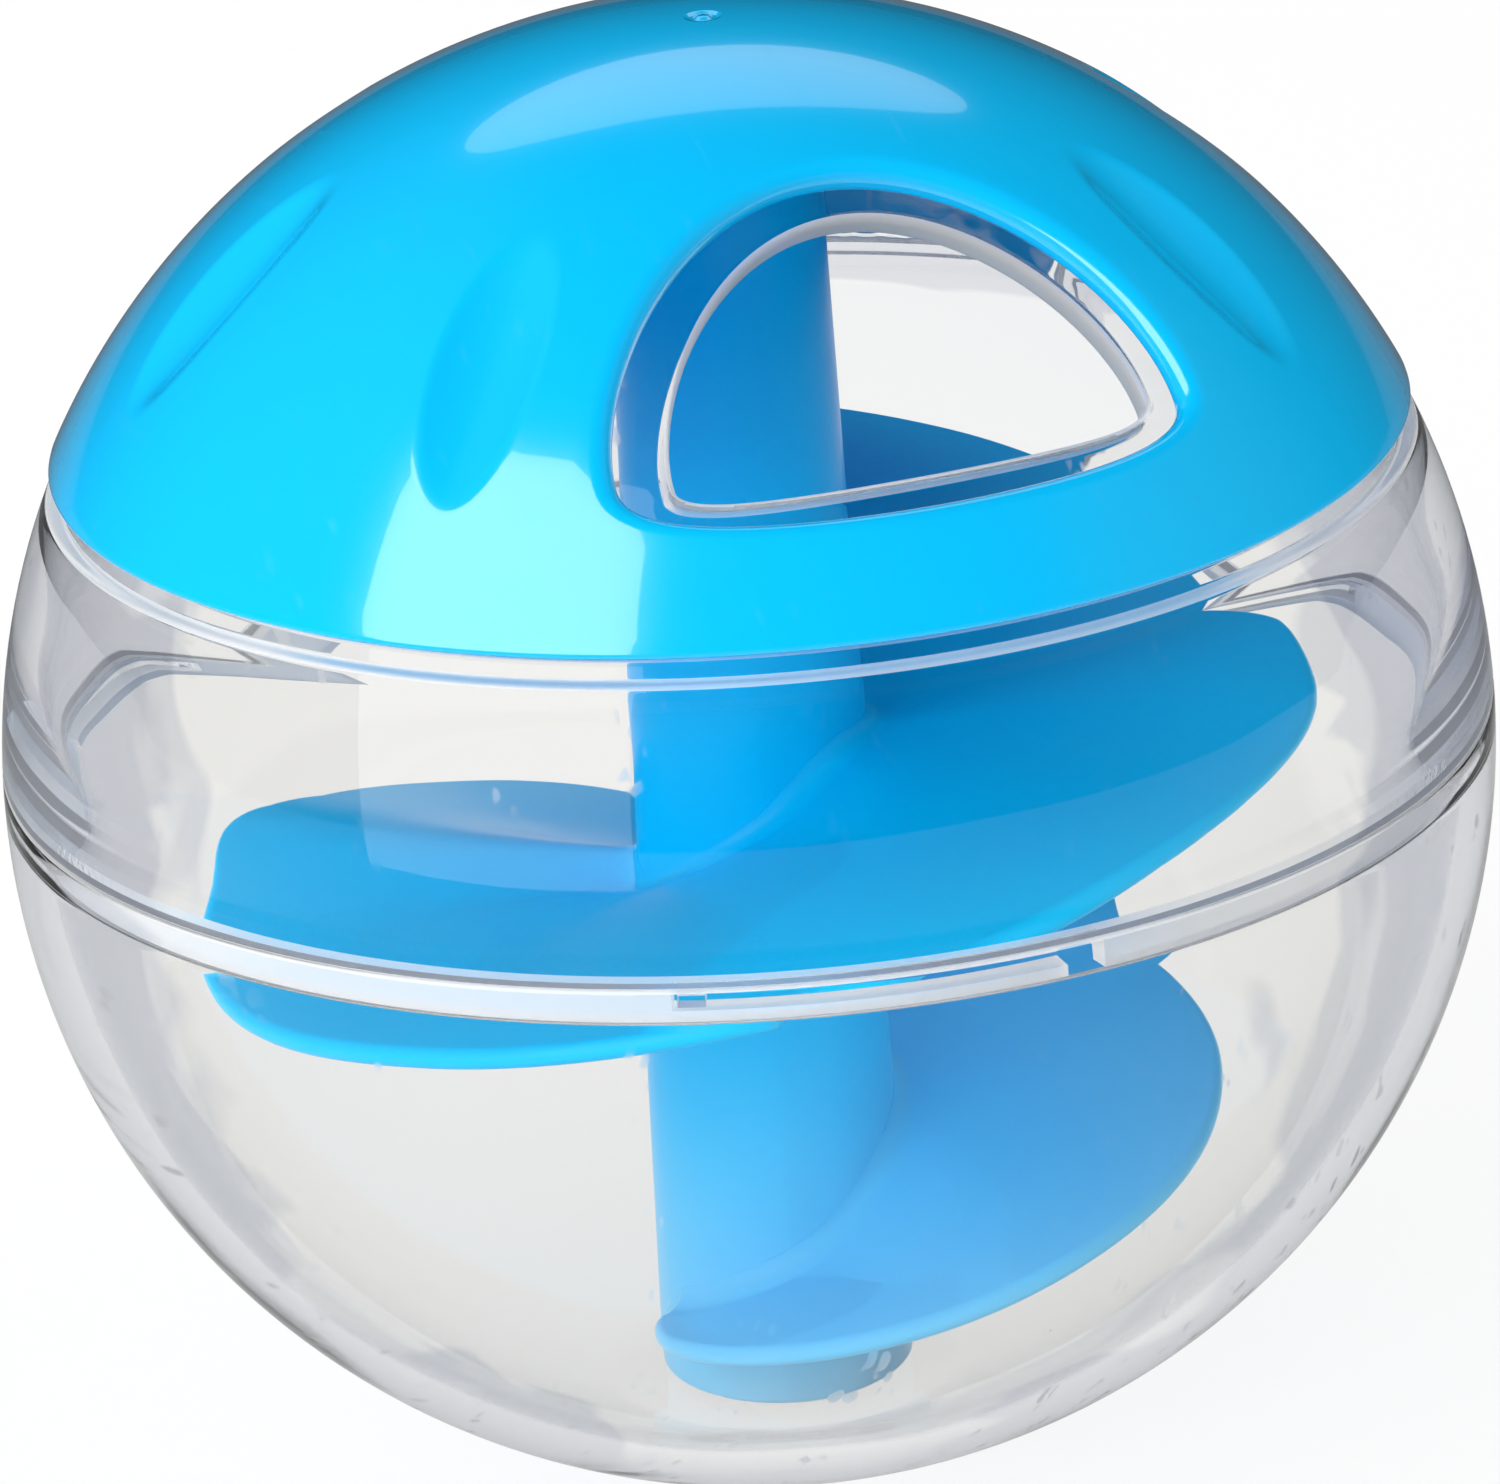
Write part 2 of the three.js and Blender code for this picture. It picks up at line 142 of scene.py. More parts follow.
# %% Rows and bridges
class Skin:
    """Points in millimetres from the ball's middle, and the faces between them."""

    def __init__(self):
        self.points = []
        self.faces = []

    def row(self, points):
        first = len(self.points)
        self.points.extend(tuple(p) for p in points)
        return list(range(first, len(self.points)))

    def bridge(self, rows):
        for near, far in zip(rows, rows[1:]):
            for k in range(len(near)):
                n = (k + 1) % len(near)
                self.faces.append((near[k], near[n], far[n], far[k]))

    def close(self, row, tip):
        end = self.row([tip])[0]
        for k in range(len(row)):
            self.faces.append((row[k], row[(k + 1) % len(row)], end))


def height_on(radius, distance):
    return math.sqrt(radius**2 - distance**2)


def distance_on(radius, height):
    return math.sqrt(radius**2 - height**2)


def arc(radius, start_height, end_height, step=1.0):
    """Profile points along a sphere from one height to another, about a step apart."""
    start, end = math.asin(start_height / radius), math.asin(end_height / radius)
    count = max(2, round(abs(end - start) * radius / step))
    turns = np.linspace(start, end, count + 1)
    return [(radius * math.cos(t), radius * math.sin(t)) for t in turns]


print("a skin starts with", len(Skin().points), "points")

# %% [markdown]
# ## Rounded corners in a profile
#
# No moulded edge is really sharp, and on clear plastic the small rounds are what shows: each one draws
# a thin bright or dark line. A Bevel modifier could round them later, but the rows round the ball are
# made from a profile, so it is easier to round the profile's corners first. A corner may be written
# as (distance, height, reach), and the reach is how far the round runs along each side.

# %% Rounding corners
ROUND_FULLNESS = 0.55
CORNER_STEPS = 5


def soften(corners):
    points = [Vector(corners[0][:2])]
    for before, corner, after in zip(corners, corners[1:], corners[2:]):
        tip = Vector(corner[:2])
        if len(corner) < 3:
            points.append(tip)
            continue
        start = tip + (Vector(before[:2]) - tip).normalized() * corner[2]
        end = tip + (Vector(after[:2]) - tip).normalized() * corner[2]
        handles = start.lerp(tip, ROUND_FULLNESS), end.lerp(tip, ROUND_FULLNESS)
        points += geometry.interpolate_bezier(start, *handles, end, CORNER_STEPS)
    points.append(Vector(corners[-1][:2]))
    return [(p[0], p[1]) for p in points]


print("a square corner becomes", len(soften([(0, 0), (1, 0, 0.5), (1, 1)])) - 2, "points")

# %% [markdown]
# ## Directions round the axis
#
# The clear halves lock with three lugs inside the lower rim, which run in three L-shaped slots of the
# upper spigot. Cutting the slots with a Boolean would leave long thin faces in the clear wall. Instead,
# all rows round the ball share one list of angles that includes the sides of the slots and lugs, so
# these can be left out or pulled in later without any cut.

# %% Angles that meet the lock's edges
ROUND_STEP = 1.5
NEAREST_STEP = 0.35
LUG_COUNT = 3
LUG_ANGLE = -114.0
TWIST = 30.0
LUG_WIDTH, LUG_HEIGHT, LUG_REACH = 1.4, 0.6, 1.1
LUG_DROP = 0.6
LUG_TOP = JOINT_HEIGHT - LUG_DROP
LUG_BOTTOM = LUG_TOP - LUG_HEIGHT

half_lug = math.degrees(LUG_WIDTH / 2 / RIM_INSIDE)
half_mouth = math.degrees((LUG_WIDTH / 2 + FIT) / SPIGOT_INSIDE)
locked_angles = [LUG_ANGLE + 360 / LUG_COUNT * i for i in range(LUG_COUNT)]
edges_of_lock = []
for locked in locked_angles:
    mouth = locked + TWIST
    edges_of_lock += [locked - half_lug, locked + half_lug, locked - half_mouth]
    edges_of_lock += [mouth - half_mouth, mouth + half_mouth]
edges_of_lock = [angle % 360 for angle in edges_of_lock]


def clear_of_lock(angle):
    return all(abs((angle - edge + 180) % 360 - 180) > NEAREST_STEP for edge in edges_of_lock)


even_angles = [ROUND_STEP * i for i in range(int(360 / ROUND_STEP))]
ANGLES = sorted(edges_of_lock + [a for a in even_angles if clear_of_lock(a)])
DIRECTIONS = [(math.cos(math.radians(a)), math.sin(math.radians(a))) for a in ANGLES]


def ring(distance, height):
    return [(distance * c, distance * s, height) for c, s in DIRECTIONS]


def plain_ring(distance, height, count):
    turns = [2 * math.pi * k / count for k in range(count)]
    return [(distance * math.cos(t), distance * math.sin(t), height) for t in turns]


print(len(ANGLES), "directions,", len(edges_of_lock), "of them on the lock's edges")

# %% [markdown]
# ## The treat opening's outline
#
# The opening is a rounded triangle that lies on the slope of the cap. The dome under the cap has the same
# opening, a little smaller, so that its clear edge shows all round. The outline is four Bezier curves,
# mirrored left to right, drawn flat and square to the ball at the opening's middle, and then laid
# onto a sphere of any radius. That one function gives every row of both rims.

# %% Opening outline
OPENING_LATITUDE = math.radians(48)
OPENING_WIDTH = 30.0
OPENING_BELOW, OPENING_ABOVE = 8.1, 11.5
OPENING_WIDEST = -3.2
LOWER_EDGE_FULLNESS, LOWER_CORNER_FULLNESS = 0.5, 0.6
SIDE_FULLNESS, CROWN_FULLNESS = 0.36, 0.54
OUTLINE_STEPS = 41
TILT = Matrix.Rotation(math.pi / 2 - OPENING_LATITUDE, 3, "X")


def opening_row(inset, rise, radius, turned=0.0):
    half = OPENING_WIDTH / 2 - inset
    low = inset - OPENING_BELOW
    high = OPENING_ABOVE - inset + rise
    wide = OPENING_WIDEST
    corner = Vector((half, wide + (low - wide) * LOWER_CORNER_FULLNESS))
    side = Vector((half, wide + (high - wide) * SIDE_FULLNESS))
    lower_edge = Vector((0, low)), Vector((half * LOWER_EDGE_FULLNESS, low)), corner, Vector((half, wide))
    upper_edge = Vector((half, wide)), side, Vector((half * CROWN_FULLNESS, high)), Vector((0, high))
    right = geometry.interpolate_bezier(*lower_edge, OUTLINE_STEPS)
    right += geometry.interpolate_bezier(*upper_edge, OUTLINE_STEPS)[1:]
    outline = [(p[0], p[1]) for p in right] + [(-p[0], p[1]) for p in reversed(right[1:-1])]
    lay = Matrix.Rotation(turned, 3, "Z") @ TILT
    return [lay @ Vector((x, y, height_on(radius, math.hypot(x, y)))) for x, y in outline]


print("opening outline has", len(opening_row(0, 0, CAP_RADIUS)), "points")

# %% [markdown]
# ## Filling a dome around its openings
#
# A dome with holes has no neat grid of quads. It could be a sphere cut by Booleans, which
# leaves slivers that spoil the gloss. Here the dome is unrolled flat about the pole, filled
# with an even field of points, joined into triangles by Blender's own constrained Delaunay function, and
# laid back on the sphere. Lines that have to stay crisp, such as the edges of the flutes, are handed
# over as loops, and the triangles then meet them exactly.

# %% Dome sheets
FIELD_GAP = 0.62


def unroll(point):
    x, y, z = point
    out = math.hypot(x, y)
    stretch = BALL_RADIUS * math.atan2(out, z) / out if out > 1e-9 else 1.0
    return Vector((x * stretch, y * stretch))


def lay_back(flat):
    turn = flat.length / BALL_RADIUS
    shrink = math.sin(turn) / flat.length if flat.length > 1e-9 else 0.0
    return Vector((flat.x * shrink, flat.y * shrink, math.cos(turn)))


def within(points, loop):
    """For each point, whether it lies inside a closed loop, by counting the edges to its right."""
    inside = np.zeros(len(points), bool)
    for (ax, ay), (bx, by) in zip(loop, np.roll(loop, -1, axis=0)):
        spans = (ay > points[:, 1]) != (by > points[:, 1])
        crossing = ax + (points[:, 1] - ay) * (bx - ax) / (by - ay if by != ay else 1e-12)
        inside ^= spans & (points[:, 0] < crossing)
    return inside


def point_field(loops, features, spacing):
    """Even points between the first loop and the others, kept off every loop."""
    reach = np.abs(loops[0]).max()
    rise = spacing * math.sqrt(3) / 2
    field = []
    for j in range(-int(reach / rise), int(reach / rise) + 1):
        shift = spacing / 2 * (j % 2)
        for i in range(-int(reach / spacing) - 1, int(reach / spacing) + 1):
            field.append((i * spacing + shift, j * rise))
    field = np.array(field)
    keep = within(field, loops[0])
    for hole in loops[1:]:
        keep &= ~within(field, hole)
    field = field[keep]
    for line in [*loops, *features]:
        nearest = np.full(len(field), 1e9)
        for corner in line:
            nearest = np.minimum(nearest, ((field - corner) ** 2).sum(1))
        field = field[nearest > (FIELD_GAP * spacing) ** 2]
    return field


def add_sheet(skin, border, holes, features, spacing, place):
    """Fills between a border row and hole rows. The place function lifts a flat point onto the dome."""
    loops = [np.array([unroll(skin.points[i]) for i in row]) for row in [border, *holes]]
    lines = [np.array(line) for line in features]
    field = point_field(loops, lines, spacing)
    owners = [i for row in [border, *holes] for i in row]
    flat = [Vector(p) for p in np.concatenate([*loops, *lines, field])]
    owners += skin.row([place(p) for p in flat[len(owners):]])
    edges, first = [], 0
    for line in [*loops, *lines]:
        edges += [(first + k, first + (k + 1) % len(line)) for k in range(len(line))]
        first += len(line)
    corners, _, triangles, sources, _, _ = geometry.delaunay_2d_cdt(flat, edges, [], 0, 1e-6)
    middles = np.array([sum((corners[i] for i in t), Vector((0, 0))) / 3 for t in triangles])
    keep = within(middles, loops[0])
    for hole in loops[1:]:
        keep &= ~within(middles, hole)
    for triangle, kept in zip(triangles, keep):
        if kept:
            skin.faces.append(tuple(owners[sources[i][0]] for i in triangle))


print("the pole unrolls to", tuple(unroll((0, 0, BALL_RADIUS))))

# %% [markdown]
# ## From a skin to a piece
#
# A skin becomes a mesh object in metres. Doubled points are merged, the faces are turned outwards, and
# edges steeper than a set angle stay sharp while the rest is shaded smooth. The piece then stands for
# its CAD node, rides on that node's body and takes the finishes it is given.

# %% Making a piece
SHARP_ANGLE = math.radians(42)
MERGE = 1e-7


def mesh_of(name, skin):
    mesh = bpy.data.meshes.new(name)
    mesh.from_pydata([(x * MM, y * MM, (z + MIDDLE) * MM) for x, y, z in skin.points], [], skin.faces)
    shape = bmesh.new()
    shape.from_mesh(mesh)
    bmesh.ops.remove_doubles(shape, verts=shape.verts, dist=MERGE)
    bmesh.ops.recalc_face_normals(shape, faces=shape.faces)
    shape.to_mesh(mesh)
    shape.free()
    mesh.shade_smooth()
    mesh.set_sharp_from_angle(angle=SHARP_ANGLE)
    return mesh


def open_edges(mesh):
    shape = bmesh.new()
    shape.from_mesh(mesh)
    count = sum(not edge.is_manifold for edge in shape.edges)
    shape.free()
    return count


def make_piece(name, mesh, node, body, slot, *finishes):
    piece = bpy.data.objects.new(name, mesh)
    scene.collection.objects.link(piece)
    mesh.materials.clear()
    for finish in finishes:
        mesh.materials.append(finish)
    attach(piece, body)
    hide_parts(node)
    print(f"{name}: {len(mesh.polygons)} faces, {open_edges(mesh)} open edges, rides on {body}")


print("sharp edges start at", round(math.degrees(SHARP_ANGLE)), "degrees")

# %% [markdown]
# ## Node groups for the plastics
#
# All four mouldings share the marks of their making and use: a faint waviness from the polished mould,
# hair-fine scratches from handling and a few specks of dust. Each of these is a node group, built
# once, with named sockets, so that every material can place it with its own scale and strength. A few
# helpers keep the making of nodes short.

# %% Helpers for nodes
def new_group(name, inputs, output):
    group = bpy.data.node_groups.new(name, "ShaderNodeTree")
    for label, value in inputs.items():
        socket = group.interface.new_socket(label, in_out="INPUT", socket_type="NodeSocketFloat")
        socket.default_value = value
    group.interface.new_socket(output, in_out="OUTPUT", socket_type="NodeSocketFloat")
    return group, group.nodes.new("NodeGroupInput"), group.nodes.new("NodeGroupOutput")


def add_node(tree, kind, **settings):
    node = tree.nodes.new(kind)
    for label, value in settings.items():
        if hasattr(node, label):
            setattr(node, label, value)
        else:
            node.inputs[label].default_value = value
    return node


def add_placed(tree, kind, **settings):
    """A node that works on the place on the piece, so that what it draws stays there in every view."""
    node = add_node(tree, kind, **settings)
    tree.links.new(add_node(tree, "ShaderNodeTexCoord").outputs["Object"], node.inputs["Vector"])
    return node


def math_node(tree, operation, first, second):
    node = add_node(tree, "ShaderNodeMath", operation=operation)
    for socket, value in zip(node.inputs, (first, second)):
        if isinstance(value, (int, float)):
            socket.default_value = value
        else:
            tree.links.new(value, socket)
    return node.outputs[0]


def map_node(tree, value, low, high, start=0.0, end=1.0, curve="SMOOTHSTEP"):
    """Takes a value that runs from low to high, and lets it run from start to end."""
    node = add_node(tree, "ShaderNodeMapRange", interpolation_type=curve)
    for label, number in (("From Min", low), ("From Max", high), ("To Min", start), ("To Max", end)):
        node.inputs[label].default_value = number
    tree.links.new(value, node.inputs["Value"])
    return node.outputs[0]


print("node helpers ready")

# %% [markdown]
# ## Mould waviness
#
# Polished plastic is never perfectly even: the melt shrinks, and reflections wobble a little. Two noise
# textures, one broad and one fine, give a height that a Bump node turns into slight tilts. Object
# coordinates keep the wobble in place on the piece in every view.

# %% Waviness group
waviness, way_in, way_out = new_group(
    "mould_waviness", {"Broad": 70.0, "Fine": 900.0, "Fine Share": 0.2}, "Height"
)
broad = add_placed(waviness, "ShaderNodeTexNoise", Detail=1.0)
fine = add_placed(waviness, "ShaderNodeTexNoise", Detail=2.0)
for texture, label in ((broad, "Broad"), (fine, "Fine")):
    waviness.links.new(way_in.outputs[label], texture.inputs["Scale"])
fine_part = math_node(waviness, "MULTIPLY", fine.outputs[0], way_in.outputs["Fine Share"])
waviness.links.new(math_node(waviness, "ADD", broad.outputs[0], fine_part), way_out.inputs["Height"])
print(waviness.name, "has", len(waviness.nodes), "nodes")

# %% [markdown]
# ## Handling scratches
#
# A ball that is rolled on floors gets short fine scratches in all directions. A noise texture stretched
# along one direction and cut off near its peak gives thin streaks. Two of them at different
# turns cross each other like real ones.

# %% Scratch group
SCRATCH_TURNS = (0.3, 0.9, 0.2), (1.2, -0.4, 1.1)
SCRATCH_STRETCH = (1.0, 0.035, 0.5)
SCRATCH_PEAK = 0.70, 0.78
scratches, way_in, way_out = new_group("handling_scratches", {"Fineness": 1500.0, "Amount": 0.3}, "Mask")
streaks = []
for turn in SCRATCH_TURNS:
    lay = add_placed(scratches, "ShaderNodeMapping", Rotation=turn, Scale=SCRATCH_STRETCH)
    hair = add_node(scratches, "ShaderNodeTexNoise", Detail=1.0)
    scratches.links.new(lay.outputs[0], hair.inputs["Vector"])
    scratches.links.new(way_in.outputs["Fineness"], hair.inputs["Scale"])
    streaks.append(map_node(scratches, hair.outputs[0], *SCRATCH_PEAK))
both = math_node(scratches, "MAXIMUM", *streaks)
scratches.links.new(math_node(scratches, "MULTIPLY", both, way_in.outputs["Amount"]), way_out.inputs["Mask"])
print(scratches.name, "has", len(scratches.nodes), "nodes")

# %% [markdown]
# ## Dust specks
#
# The photograph shows a scatter of pale specks on the clear plastic. A Voronoi texture has one point in
# each cell. Keeping only the nearest surroundings of that point, and only in the few cells whose random
# colour is high, gives sparse round specks.

# %% Speck group
specks, way_in, way_out = new_group("dust_specks", {"Cells": 260.0, "Size": 0.1, "Sparse": 0.8}, "Mask")
cells = add_placed(specks, "ShaderNodeTexVoronoi")
specks.links.new(way_in.outputs["Cells"], cells.inputs["Scale"])
near = math_node(specks, "LESS_THAN", cells.outputs["Distance"], way_in.outputs["Size"])
chosen = math_node(specks, "GREATER_THAN", cells.outputs["Color"], way_in.outputs["Sparse"])
specks.links.new(math_node(specks, "MULTIPLY", near, chosen), way_out.inputs["Mask"])
print(specks.name, "has", len(specks.nodes), "nodes")

# %% [markdown]
# ## Placing the groups in a material
#
# Each plastic starts the same way: a Principled shader whose Normal comes from the waviness, and whose
# roughness rises in the scratches and specks. The helper sets these up, so each material can go on from
# there with its own colour. A second helper lets lamp rays go straight through a piece by a Transparent
# shader, because a renderer without caustics would leave what is inside in the dark.

# %% Start of a plastic
def place_group(tree, group, values):
    node = add_node(tree, "ShaderNodeGroup")
    node.node_tree = group
    for label, value in values.items():
        node.inputs[label].default_value = value
    return node.outputs[0]


def start_plastic(name, wave, scratch, speck, polished, worn, bump):
    material = bpy.data.materials.new(name)
    material.use_nodes = True
    tree = material.node_tree
    shader = tree.nodes["Principled BSDF"]
    tilt = add_node(tree, "ShaderNodeBump", Strength=bump[0], Distance=bump[1])
    tree.links.new(place_group(tree, waviness, wave), tilt.inputs["Height"])
    tree.links.new(tilt.outputs[0], shader.inputs["Normal"])
    worn_spots = place_group(tree, scratches, scratch), place_group(tree, specks, speck)
    marks = math_node(tree, "MAXIMUM", *worn_spots)
    tree.links.new(map_node(tree, marks, 0.0, 1.0, polished, worn, "LINEAR"), shader.inputs["Roughness"])
    return material, tree, shader


def blend_colours(tree, share, first, second):
    mix = add_node(tree, "ShaderNodeMix", data_type="RGBA")
    colours = [s for s in mix.inputs if s.type == "RGBA"]
    for socket, colour in zip(colours, (first, second)):
        if isinstance(colour, tuple):
            socket.default_value = (*colour, 1)
        else:
            tree.links.new(colour, socket)
    tree.links.new(share, mix.inputs[0])
    return next(s for s in mix.outputs if s.type == "RGBA")


def pass_lamp_rays(tree, shader, colour):
    ray = add_node(tree, "ShaderNodeLightPath")
    passing = add_node(tree, "ShaderNodeBsdfTransparent", Color=(*colour, 1))
    choice = add_node(tree, "ShaderNodeMixShader")
    tree.links.new(ray.outputs["Is Shadow Ray"], choice.inputs["Fac"])
    tree.links.new(shader.outputs[0], choice.inputs[1])
    tree.links.new(passing.outputs[0], choice.inputs[2])
    tree.links.new(choice.outputs[0], tree.nodes["Material Output"].inputs["Surface"])


print("plastics can be mixed")

# %% [markdown]
# ## Clear plastic
#
# The two halves are clear, hard and polished, and nearly colourless face on. A Glass shader alone would do,
# but a Principled shader with full transmission carries the scratches and waviness as well. Where the eye
# looks along the wall, a cool grey is painted into the colour as painted shade. It stands in for the darker
# surroundings seen there by reflection and refraction. It comes as uneven patches broken up by a noise, with
# fewer of them low in the bowl, and as a darker painted outline. The refraction is set a little lower than
# that of real plastic, because less light then gets trapped in the thin walls.

# %% Clear plastic finish
CLEAR_TINT, PAINTED_SHADE_TINT, PAINTED_OUTLINE_SHADE = (0.925, 0.922, 0.91), (0.62, 0.64, 0.695), (0.48, 0.52, 0.58)
LAMP_TINT = (0.98, 0.985, 0.99)
CLEAR_IOR = 1.3
SHADE_NOISE_SCALE, SHADE_NOISE_DETAIL, SHADE_NOISE_SWIRL, SHADE_NOISE_SHARE = 85.0, 1.5, 0.8, 0.5
NOISE_MIDDLE = 0.5
SHADE_PATCH_EDGE = 0.40, 0.45
SHADE_OUTLINE_EDGE = 0.6, 0.92
BOWL_LOW, BOWL_HIGH, FEWER_SHADE_PATCHES = 0.008, 0.032, -0.35

clear, tree, shader = start_plastic(
    "clear_plastic",
    {"Broad": 55.0, "Fine": 500.0, "Fine Share": 0.0},
    {"Fineness": 900.0, "Amount": 0.5},
    {"Cells": 240.0, "Size": 0.04, "Sparse": 0.86},
    polished=0.015, worn=0.4, bump=(0.25, 0.0006),
)
# Painted shade: a grey where the eye looks along the wall, in uneven patches and a darker outline.
along_wall = add_node(tree, "ShaderNodeLayerWeight", Blend=0.5).outputs["Facing"]
shade_noise = add_placed(
    tree, "ShaderNodeTexNoise", Scale=SHADE_NOISE_SCALE, Detail=SHADE_NOISE_DETAIL, Distortion=SHADE_NOISE_SWIRL
)
swing = math_node(tree, "SUBTRACT", shade_noise.outputs[0], NOISE_MIDDLE)
shade_pattern = math_node(tree, "ADD", along_wall, math_node(tree, "MULTIPLY", swing, SHADE_NOISE_SHARE))
height = add_placed(tree, "ShaderNodeSeparateXYZ").outputs["Z"]
lower = map_node(tree, height, BOWL_LOW, BOWL_HIGH, FEWER_SHADE_PATCHES, 0.0, "LINEAR")
shade_patches = map_node(tree, math_node(tree, "ADD", shade_pattern, lower), *SHADE_PATCH_EDGE)
wall_colour = blend_colours(tree, shade_patches, CLEAR_TINT, PAINTED_SHADE_TINT)
wall_colour = blend_colours(tree, map_node(tree, along_wall, *SHADE_OUTLINE_EDGE), wall_colour, PAINTED_OUTLINE_SHADE)
tree.links.new(wall_colour, shader.inputs["Base Color"])
shader.inputs["IOR"].default_value = CLEAR_IOR
shader.inputs["Transmission Weight"].default_value = 1.0
pass_lamp_rays(tree, shader, LAMP_TINT)
print(clear.name, "has", len(tree.nodes), "nodes")

# %% [markdown]
# ## Edges of the clear plastic
#
# Where clear plastic ends, at a rim, a slot or a ledge, light that ran along inside the wall comes out,
# and the edge glows pale. A renderer follows such light only for a few bounces and then draws the edge
# black. So the edge faces get their own finish with a painted glow: the same plastic, rougher, with a pale
# colour and only half clear, which stands in for the light coming out. A face belongs to an edge when it
# does not look straight out of the ball or straight into it, and the whole spigot has the painted glow too.

# %% Edge finish
EDGE_FACING = 0.93
EDGE_GLOW_COLOUR, EDGE_CLEARNESS = (0.86, 0.87, 0.88), 0.6

clear_edge_glow, tree, shader = start_plastic(
    "clear_edge_glow",
    {"Broad": 120.0, "Fine": 1800.0, "Fine Share": 0.3},
    {"Fineness": 900.0, "Amount": 0.3},
    {"Cells": 240.0, "Size": 0.04, "Sparse": 0.86},
    polished=0.35, worn=0.6, bump=(0.2, 0.0003),
)
# Painted glow: the pale colour stands in for light that leaves the clear edges.
shader.inputs["Base Color"].default_value = (*EDGE_GLOW_COLOUR, 1)
shader.inputs["IOR"].default_value = CLEAR_IOR
shader.inputs["Transmission Weight"].default_value = EDGE_CLEARNESS
pass_lamp_rays(tree, shader, LAMP_TINT)


# Edge faces, and every face below the given height, get the painted glow.
def finish_edges(mesh, glow_below=-BALL_RADIUS):
    for face in mesh.polygons:
        outwards = face.center - ball_middle
        below_line = outwards.z < glow_below * MM
        edge = abs(face.normal.dot(outwards.normalized())) < EDGE_FACING
        face.material_index = int(edge or below_line)
    print(mesh.name, "has", sum(face.material_index for face in mesh.polygons), "edge faces")


print(clear_edge_glow.name, "has", len(tree.nodes), "nodes")

# %% [markdown]
# ## Blue cap plastic
#
# The cap is a bright cyan blue with a high gloss. Real coloured plastic is not one flat colour: the
# pigment flows in faint clouds from the gate at the middle, and the polish is dulled a little by
# handling. A slow noise mixes two near blues, and a clear coat gives the crisp reflection of the window.
# The wall is thin enough for some deep blue light to pass, which tints the space under the cap.

# %% Cap finish
PLASTIC_IOR = 1.5
CAP_BLUES = (0.0, 0.45, 0.86), (0.0, 0.505, 0.92)
CAP_GLOW = (0.0, 0.06, 0.4)
COAT_ROUGHNESS = 0.03

cap_blue, tree, shader = start_plastic(
    "cap_blue",
    {"Broad": 45.0, "Fine": 1200.0, "Fine Share": 0.04},
    {"Fineness": 1100.0, "Amount": 0.35},
    {"Cells": 200.0, "Size": 0.04, "Sparse": 0.9},
    polished=0.16, worn=0.42, bump=(0.2, 0.0004),
)
cloud = add_placed(tree, "ShaderNodeTexNoise", Scale=38.0, Detail=3.0)
tree.links.new(blend_colours(tree, cloud.outputs[0], *CAP_BLUES), shader.inputs["Base Color"])
shader.inputs["IOR"].default_value = PLASTIC_IOR
shader.inputs["Coat Weight"].default_value = 1.0
shader.inputs["Coat Roughness"].default_value = COAT_ROUGHNESS
pass_lamp_rays(tree, shader, CAP_GLOW)
print(cap_blue.name, "has", len(tree.nodes), "nodes")

# %% [markdown]
# ## Blue spiral plastic
#
# The spiral is the same family of blue, a shade deeper, with a finer satin surface because its mould was
# not polished as well as the cap's. It has no clear coat, and its fine bump is stronger. Its colour turns
# a little paler towards the bottom, by height and a slow noise.

# %% Spiral finish
SPIRAL_BLUES = (0.0, 0.52, 0.96), (0.0, 0.57, 1.0)
SATIN_LEVEL = 0.15
PALE_TOP, PALE_BLUE, PALE_LEAST = 0.027, (0.24, 0.6, 0.86), 0.4

spiral_blue, tree, shader = start_plastic(
    "spiral_blue",
    {"Broad": 60.0, "Fine": 2200.0, "Fine Share": 0.25},
    {"Fineness": 1300.0, "Amount": 0.25},
    {"Cells": 220.0, "Size": 0.05, "Sparse": 0.9},
    polished=0.28, worn=0.5, bump=(0.2, 0.0003),
)
cloud = add_placed(tree, "ShaderNodeTexNoise", Scale=50.0, Detail=3.0)
flow = blend_colours(tree, cloud.outputs[0], *SPIRAL_BLUES)
# The colour turns paler towards the bottom of the spiral.
height = add_placed(tree, "ShaderNodeSeparateXYZ").outputs["Z"]
clouded = math_node(tree, "ADD", cloud.outputs[0], PALE_LEAST)
paler_low = math_node(tree, "MULTIPLY", map_node(tree, height, PALE_TOP, 0.0), clouded)
tree.links.new(blend_colours(tree, paler_low, flow, PALE_BLUE), shader.inputs["Base Color"])
shader.inputs["IOR"].default_value = PLASTIC_IOR
shader.inputs["Specular IOR Level"].default_value = SATIN_LEVEL
print(spiral_blue.name, "has", len(tree.nodes), "nodes")

# %% [markdown]
# ## The cap's flutes and gate mark
#
# Seven shallow finger flutes lie round the cap, at the places of an even ring of eight whose first place
# is the treat opening. Each is a long oval scoop with a softly rounded edge. The gate, where the plastic was
# injected, is a small dimple with a nub at the very top. Both are heights that are taken off the
# sphere, so one function can say how deep the cap is at any direction.

# %% Depth of the flutes and the gate
FLUTE_PLACES = 8
FLUTE_HALF_WIDTH, FLUTE_HALF_LENGTH, FLUTE_DEPTH = 2.9, 7.7, 1.0
FLUTE_EDGE_ROUND = 0.2
FLUTE_LOOPS = (1.14, 1.1, 1.05, 1.0, 0.95, 0.9, 0.85)
FLUTE_LOOP_POINTS = 72
GATE_LOOPS = (1.1, 0.95, 0.8, 0.45, 0.3)
GATE_DEPTH, GATE_NUB = 0.12, 0.12
flute_turns = [Matrix.Rotation(2 * math.pi * p / FLUTE_PLACES, 3, "Z") @ TILT for p in range(1, FLUTE_PLACES)]
flute_views = [turn.transposed() for turn in flute_turns]


def smooth_between(value, low, high):
    share = min(1.0, max(0.0, (value - low) / (high - low)))
    return share * share * (3 - 2 * share)


